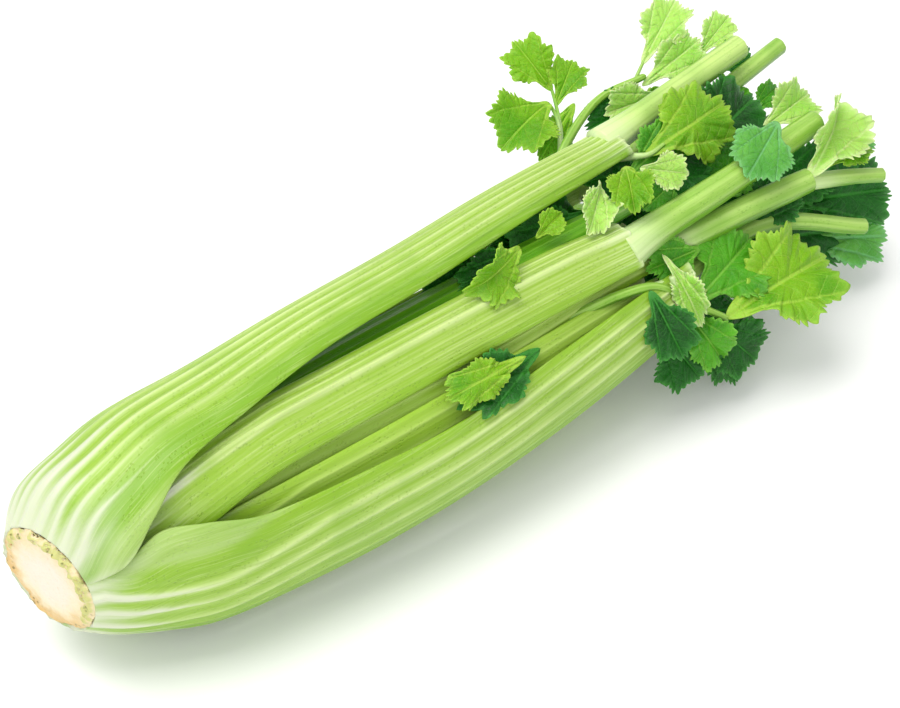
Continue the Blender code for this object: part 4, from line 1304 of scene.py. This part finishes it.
LEAVES: tuple[Leaf, ...] = (
    # The sprig behind the top stalk.
    Leaf("leaf_back_hanging", BRIGHT, 0.033, (0.103, 0.083, 0.062), (0.073, 0.076, 0.058),
         (-0.50, -0.40, 0.75), 0.25, 0.12, roll=0.8, seed=3, stalk_from=(0.092, 0.062, 0.056)),
    Leaf("leaf_back_tip", BRIGHT, 0.022, (0.108, 0.087, 0.064), (0.104, 0.107, 0.079),
         TO_FRONT, 0.30, 0.10, lobing=1.6, teeth=20, seed=7, stalk_from=(0.092, 0.062, 0.056)),
    Leaf("leaf_back_side", BRIGHT, 0.018, (0.105, 0.081, 0.061), (0.123, 0.092, 0.069),
         TO_FRONT, 0.30, 0.12, lobing=1.5, teeth=18, seed=9),
    Leaf("leaf_back_narrow", BRIGHT, 0.016, (0.112, 0.077, 0.062), (0.085, 0.066, 0.053),
         TO_FRONT, -0.35, 0.08, lobing=0.7, teeth=20, seed=12),
    # Pale leaves behind the top stem, and dark ones painted as the shade behind it.
    Leaf("leaf_top_pale", PALE, 0.021, (0.136, 0.064, 0.078), (0.162, 0.074, 0.093),
         TO_FRONT, 0.25, 0.10, lobing=1.7, seed=14, stalk_from=(0.118, 0.056, 0.066)),
    Leaf("leaf_top_low", PALE, 0.019, (0.132, 0.059, 0.072), (0.161, 0.057, 0.083),
         TO_FRONT, 0.35, 0.08, lobing=1.4, seed=17),
    Leaf("leaf_top_small", PALE, 0.015, (0.158, 0.055, 0.077), (0.179, 0.060, 0.085),
         TO_FRONT, 0.40, 0.10, lobing=1.2, teeth=18, seed=18),
    Leaf("leaf_top_dark", DARK, 0.016, (0.158, 0.046, 0.074), (0.180, 0.048, 0.076),
         TO_FRONT, 0.20, 0.05, teeth=16, seed=21, extra=True),
    Leaf("leaf_behind_stem", DARK, 0.023, (0.136, 0.056, 0.066), (0.104, 0.060, 0.062),
         TO_FRONT, 0.15, 0.05, seed=23, extra=True),
    Leaf("leaf_behind_stem_pale", PALE, 0.019, (0.134, 0.050, 0.072), (0.110, 0.056, 0.070),
         TO_FRONT, 0.45, 0.06, lobing=0.8, seed=24, extra=True),
    # The fan over the end, with its neighbours.
    Leaf("leaf_fan", BRIGHT, 0.034, (0.094, 0.012, 0.0850), (0.137, 0.016, 0.0880),
         TO_FRONT, -0.18, 0.06, ruffle=0.08, lobing=1.2, teeth=28, seed=31,
         stalk_from=(0.088, 0.022, 0.080), stalk_radius=0.0018),
    Leaf("leaf_bluish", BLUISH, 0.028, (0.144, -0.007, 0.0885), (0.120, -0.016, 0.0780),
         TO_FRONT, 0.28, 0.10, roll=-1.0, lobing=0.7, seed=33),
    Leaf("leaf_behind_fan", DARK, 0.038, (0.120, 0.014, 0.0700), (0.160, 0.022, 0.0760),
         TO_FRONT, 0.10, 0.05, ruffle=0.07, seed=35),
    Leaf("leaf_behind_fan_mid", MID, 0.026, (0.132, 0.024, 0.0640), (0.166, 0.034, 0.0700),
         TO_FRONT, 0.20, 0.08, lobing=1.3, seed=36, extra=True),
    Leaf("leaf_small_high", MID, 0.012, (0.166, 0.030, 0.0600), (0.185, 0.034, 0.0620),
         TO_FRONT, 0.30, 0.10, teeth=14, seed=38, extra=True),
    Leaf("leaf_pale_edge", PALE, 0.022, (0.153, 0.010, 0.0700), (0.180, 0.012, 0.0740),
         TO_FRONT, 0.35, 0.10, roll=0.8, seed=41),
    Leaf("leaf_upright", PALE, 0.028, (0.151, -0.020, 0.0650), (0.178, -0.006, 0.0830),
         (-0.35, -0.75, 0.55), 0.90, 0.10, ruffle=0.10, twist=0.5, lobing=1.2, seed=43,
         stalk_from=(0.146, -0.020, 0.0640), stalk_radius=0.0014),
    Leaf("leaf_upright_side", BRIGHT, 0.020, (0.158, -0.019, 0.0660), (0.183, -0.016, 0.0690),
         TO_FRONT, 0.45, 0.10, ruffle=0.08, seed=44, extra=True),
    Leaf("leaf_end_bluish", BLUISH, 0.019, (0.174, -0.008, 0.0600), (0.196, -0.008, 0.0600),
         TO_FRONT, 0.20, 0.10, seed=45),
    Leaf("leaf_end_dark", DARK, 0.034, (0.152, -0.008, 0.0440), (0.199, -0.020, 0.0350),
         TO_FRONT, 0.12, 0.06, ruffle=0.06, lobing=1.5, teeth=30, seed=47),
    shade("leaf_end_between", 0.026, (0.140, -0.002, 0.0500), (0.182, -0.006, 0.0500), 48),
    Leaf("leaf_end_low", BLUISH, 0.026, (0.152, -0.014, 0.0280), (0.195, -0.026, 0.0160),
         TO_FRONT, 0.20, 0.10, lobing=1.3, seed=51),
    shade("leaf_end_shade", 0.034, (0.128, -0.010, 0.0380), (0.178, -0.020, 0.0240), 52),
    # The bright leaf at the front, what stands behind it and what hangs below it.
    Leaf("leaf_bright_front", BRIGHT, 0.043, (0.088, -0.043, 0.0420), (0.143, -0.041, 0.0430),
         (-0.35, -0.45, 0.82), 0.16, 0.08, ruffle=0.07, lobing=1.15, teeth=30, seed=61),
    Leaf("leaf_behind_bright", MID, 0.038, (0.082, -0.032, 0.0460), (0.118, -0.023, 0.0530),
         TO_FRONT, 0.15, 0.08, ruffle=0.07, lobing=0.9, teeth=28, seed=63,
         stalk_from=(0.076, -0.032, 0.056)),
    shade("leaf_shade_front", 0.030, (0.104, -0.036, 0.0330), (0.082, -0.030, 0.0400), 64),
    shade("leaf_shade_low", 0.034, (0.080, -0.034, 0.0300), (0.108, -0.038, 0.0100), 65, TO_LOW_FRONT),
    Leaf("leaf_floor", MID, 0.022, (0.074, -0.033, 0.0480), (0.084, -0.047, 0.0250),
         TO_LOW_FRONT, 0.45, 0.12, ruffle=0.09, seed=66, stalk_from=(0.070, -0.030, 0.0640)),
    Leaf("leaf_floor_far", DARK, 0.028, (0.086, -0.036, 0.0360), (0.100, -0.049, 0.0180),
         TO_LOW_FRONT, 0.25, 0.10, ruffle=0.07, seed=68),
    Leaf("leaf_folded", PALE, 0.013, (0.074, -0.020, 0.0665), (0.076, -0.042, 0.0440),
         TO_LOW_FRONT, 0.55, 0.15, ruffle=0.09, lobing=0.6, seed=71),
    Leaf("leaf_joint_side", MID, 0.017, (0.094, -0.021, 0.0600), (0.066, -0.020, 0.0620),
         TO_FRONT, 0.30, 0.08, seed=73, extra=True),
    shade("leaf_shade_joint", 0.026, (0.060, -0.016, 0.0530), (0.096, -0.016, 0.0480), 101),
    Leaf("leaf_shade_over", DARK, 0.022, (0.059, -0.0300, 0.0630), (0.061, -0.0490, 0.0410),
         TO_FRONT, 0.20, 0.08, lobing=1.1, teeth=22, seed=93, extra=True),
    shade("leaf_shade_end", 0.030, (0.066, -0.030, 0.0380), (0.074, -0.046, 0.0210), 107, TO_LOW_FRONT),
    shade("leaf_shade_stem", 0.024, (0.122, -0.017, 0.0520), (0.152, -0.010, 0.0560), 108),
    shade("leaf_shade_gap", 0.028, (0.096, -0.016, 0.0500), (0.136, -0.014, 0.0480), 102),
    Leaf("leaf_node_gap", MID, 0.022, (0.084, 0.013, 0.0780), (0.116, 0.018, 0.0840),
         TO_FRONT, 0.15, 0.05, seed=109, extra=True),
    # Leaves between the two top stalks.
    shade("leaf_top_gap", 0.030, (0.084, 0.014, 0.0740), (0.124, 0.012, 0.0740), 103),
    Leaf("leaf_top_gap_low", MID, 0.028, (0.108, 0.002, 0.0640), (0.144, 0.006, 0.0660),
         TO_FRONT, 0.15, 0.05, seed=104, extra=True),
    shade("leaf_low_gap", 0.026, (0.022, 0.014, 0.0680), (-0.014, 0.016, 0.0660), 105),
    shade("leaf_middle_gap", 0.026, (0.060, 0.018, 0.0680), (0.020, 0.018, 0.0680), 106),
    Leaf("leaf_between_low", BRIGHT, 0.022, (0.018, 0.000, 0.0850), (-0.012, -0.008, 0.0860),
         (-0.30, -0.70, 0.60), 0.55, 0.14, ruffle=0.09, twist=-0.5, lobing=0.8, seed=75),
    Leaf("leaf_between_small", BRIGHT, 0.011, (0.030, 0.003, 0.0820), (0.043, 0.004, 0.0870),
         TO_FRONT, 0.50, 0.10, lobing=0.6, teeth=14, seed=77),
    Leaf("leaf_between_pale", PALE, 0.015, (0.066, 0.008, 0.0890), (0.046, -0.008, 0.0820),
         (-0.20, -0.70, 0.60), 0.70, 0.06, ruffle=0.09, lobing=0.7, seed=79),
    Leaf("leaf_between_bright", BRIGHT, 0.020, (0.076, 0.006, 0.0930), (0.066, -0.012, 0.0850),
         TO_FRONT, 0.35, 0.15, ruffle=0.09, roll=1.0, lobing=0.8, seed=81),
    Leaf("leaf_between_high", PALE, 0.016, (0.082, 0.004, 0.0890), (0.097, -0.007, 0.0860),
         TO_FRONT, 0.35, 0.12, ruffle=0.07, lobing=0.8, teeth=18, seed=83),
    Leaf("leaf_between_end", MID, 0.020, (0.100, 0.002, 0.0760), (0.078, -0.004, 0.0760),
         TO_FRONT, 0.20, 0.08, seed=85, extra=True),
    shade("leaf_between_dark", 0.030, (0.068, 0.012, 0.0700), (0.022, 0.008, 0.0680), 87),
    shade("leaf_between_floor", 0.034, (0.080, 0.022, 0.0560), (0.034, 0.024, 0.0600), 86),
    shade("leaf_between_back", 0.034, (0.120, 0.018, 0.0560), (0.076, 0.014, 0.0580), 84),
    shade("leaf_stem_gap", 0.030, (0.100, -0.008, 0.0560), (0.140, -0.004, 0.0560), 82),
    shade("leaf_between_deep", 0.026, (0.104, 0.018, 0.0720), (0.066, 0.014, 0.0700), 88),
    shade("leaf_between_shade", 0.020, (0.030, 0.008, 0.0740), (-0.008, 0.002, 0.0740), 89),
    # The thin leaf in the front gap.
    Leaf("leaf_front_shade", DARK, 0.022, (0.006, -0.0290, 0.0625), (-0.034, -0.0320, 0.0585),
         TO_FRONT, 0.30, 0.10, lobing=1.2, teeth=18, seed=91, extra=True),
    Leaf("leaf_front_gap", BRIGHT, 0.017, (-0.0043, -0.0332, 0.0676), (-0.0403, -0.0332, 0.0676),
         TO_FRONT, -0.15, 0.05, ruffle=0.07, lobing=1.3, seed=91),
    # Leaves on the far side.
    Leaf("leaf_far_side", MID, 0.034, (0.096, 0.048, 0.0440), (0.138, 0.056, 0.0360),
         TO_BACK, 0.20, 0.10, ruffle=0.07, lobing=1.3, seed=93, stalk_from=(0.086, 0.040, 0.048)),
    Leaf("leaf_far_floor", DARK, 0.032, (0.110, 0.032, 0.0240), (0.146, 0.048, 0.0040),
         TO_BACK, 0.20, 0.10, ruffle=0.07, seed=95, stalk_from=(0.088, 0.032, 0.030)),
    Leaf("leaf_far_end", MID, 0.030, (0.156, 0.030, 0.0460), (0.190, 0.036, 0.0400),
         TO_BACK, 0.20, 0.10, ruffle=0.07, seed=97, stalk_from=(0.130, 0.032, 0.046)),
    Leaf("leaf_far_high", BRIGHT, 0.028, (0.112, 0.052, 0.0560), (0.146, 0.064, 0.0560),
         TO_BACK, 0.25, 0.12, ruffle=0.07, lobing=1.3, seed=98, stalk_from=(0.088, 0.044, 0.056),
         extra=True),
    Leaf("leaf_far_low", BRIGHT, 0.026, (0.088, 0.044, 0.0300), (0.112, 0.062, 0.0180),
         TO_BACK, 0.30, 0.12, ruffle=0.07, seed=99, extra=True),
)


# ---- Studio ------------------------------------------------------


@dataclass
class Studio:
    """White floor, soft light from above and from the left, and the camera."""

    turn: float = -38.0
    rise: float = 43.0
    distance: float = 1.0
    lens: float = 106.0
    target: Point = (-0.010, 0.004, 0.045)
    floor_side: float = 8.0
    sky: float = 0.76

    def floor(self) -> None:
        """A plain pale floor, faded to white."""
        graph = Graph("floor_white")
        tone = graph.noise(graph.place(), 3.0, 1.0)
        colour = graph.mix(tone * 0.2, (0.93, 0.93, 0.93), (0.91, 0.92, 0.91))
        graph.fill(graph.shader, {"Base Color": colour, "Roughness": 0.9, "Specular IOR Level": 0.1})
        half = self.floor_side / 2
        mesh = bpy.data.meshes.new("floor")
        corners = [(-half, -half, 0.0), (half, -half, 0.0), (half, half, 0.0), (-half, half, 0.0)]
        mesh.from_pydata(corners, [], [(0, 1, 2, 3)])
        mesh.materials.append(graph.material)
        made = bpy.data.objects.new("floor", mesh)
        bpy.context.scene.collection.objects.link(made)

    def light(self, name: str, place: Point, size: float, power: float, colour: Colour) -> None:
        """A square area light that faces the middle of the head."""
        lamp = bpy.data.lights.new(name, "AREA")
        lamp.size = size
        lamp.energy = power
        lamp.color = colour
        made = bpy.data.objects.new(name, lamp)
        made.location = place
        made.rotation_euler = (Vector((0, 0, 0.03)) - Vector(place)).to_track_quat("-Z", "Y").to_euler()
        bpy.context.scene.collection.objects.link(made)

    def lights(self) -> None:
        """Two soft lights and an even white surround."""
        world = bpy.data.worlds.new("surround")
        world.use_nodes = True
        world.node_tree.nodes["Background"].inputs["Color"].default_value = (1.0, 1.0, 1.0, 1.0)
        world.node_tree.nodes["Background"].inputs["Strength"].default_value = self.sky
        bpy.context.scene.world = world
        self.light("key", (-0.36, 0.22, 1.50), 1.2, 19.0, (1.0, 0.985, 0.95))
        self.light("fill", (-0.9, -0.9, 0.9), 1.2, 7.0, (0.97, 0.99, 1.0))

    def camera(self) -> None:
        """The camera, turned and raised round its target."""
        turn, rise = math.radians(self.turn), math.radians(self.rise)
        level = math.cos(rise)
        back = Vector((math.sin(turn) * level, -math.cos(turn) * level, math.sin(rise)))
        data = bpy.data.cameras.new("camera")
        data.lens = self.lens
        data.sensor_width = 36.0
        data.clip_start = 0.01
        made = bpy.data.objects.new("camera", data)
        made.location = Vector(self.target) + Vector(HEAD_SHIFT) + back * self.distance
        made.rotation_euler = back.to_track_quat("Z", "Y").to_euler()
        bpy.context.scene.collection.objects.link(made)
        bpy.context.scene.camera = made

    def build(self) -> None:
        """Build floor, lights and camera."""
        self.floor()
        self.lights()
        self.camera()
        bpy.context.scene.view_settings.view_transform = "Standard"


# ---- Assembly ----------------------------------------------------

SKINS: dict[str, bpy.types.Material] = {
    finish.name: finish.build()
    for finish in (OUTER_SKIN, MIDDLE_SKIN, INNER_SKIN, SHADED_GAP_SKIN, HEART_SKIN, STEM_SKIN)
}
LEAF_MATERIALS: dict[str, bpy.types.Material] = {
    kind.value.name: kind.value.build() for kind in LeafKind
}


def main() -> None:
    """Build the head, piece by piece, and the studio round it."""
    logging.basicConfig(level=logging.INFO, format="%(message)s")
    Crown().build()
    for stalk in STALKS:
        stalk.build()
    for stem in STEMS:
        stem.build()
    for leaf in LEAVES:
        leaf.build()
    Studio().build()
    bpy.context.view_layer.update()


if __name__ == "__main__":
    main()
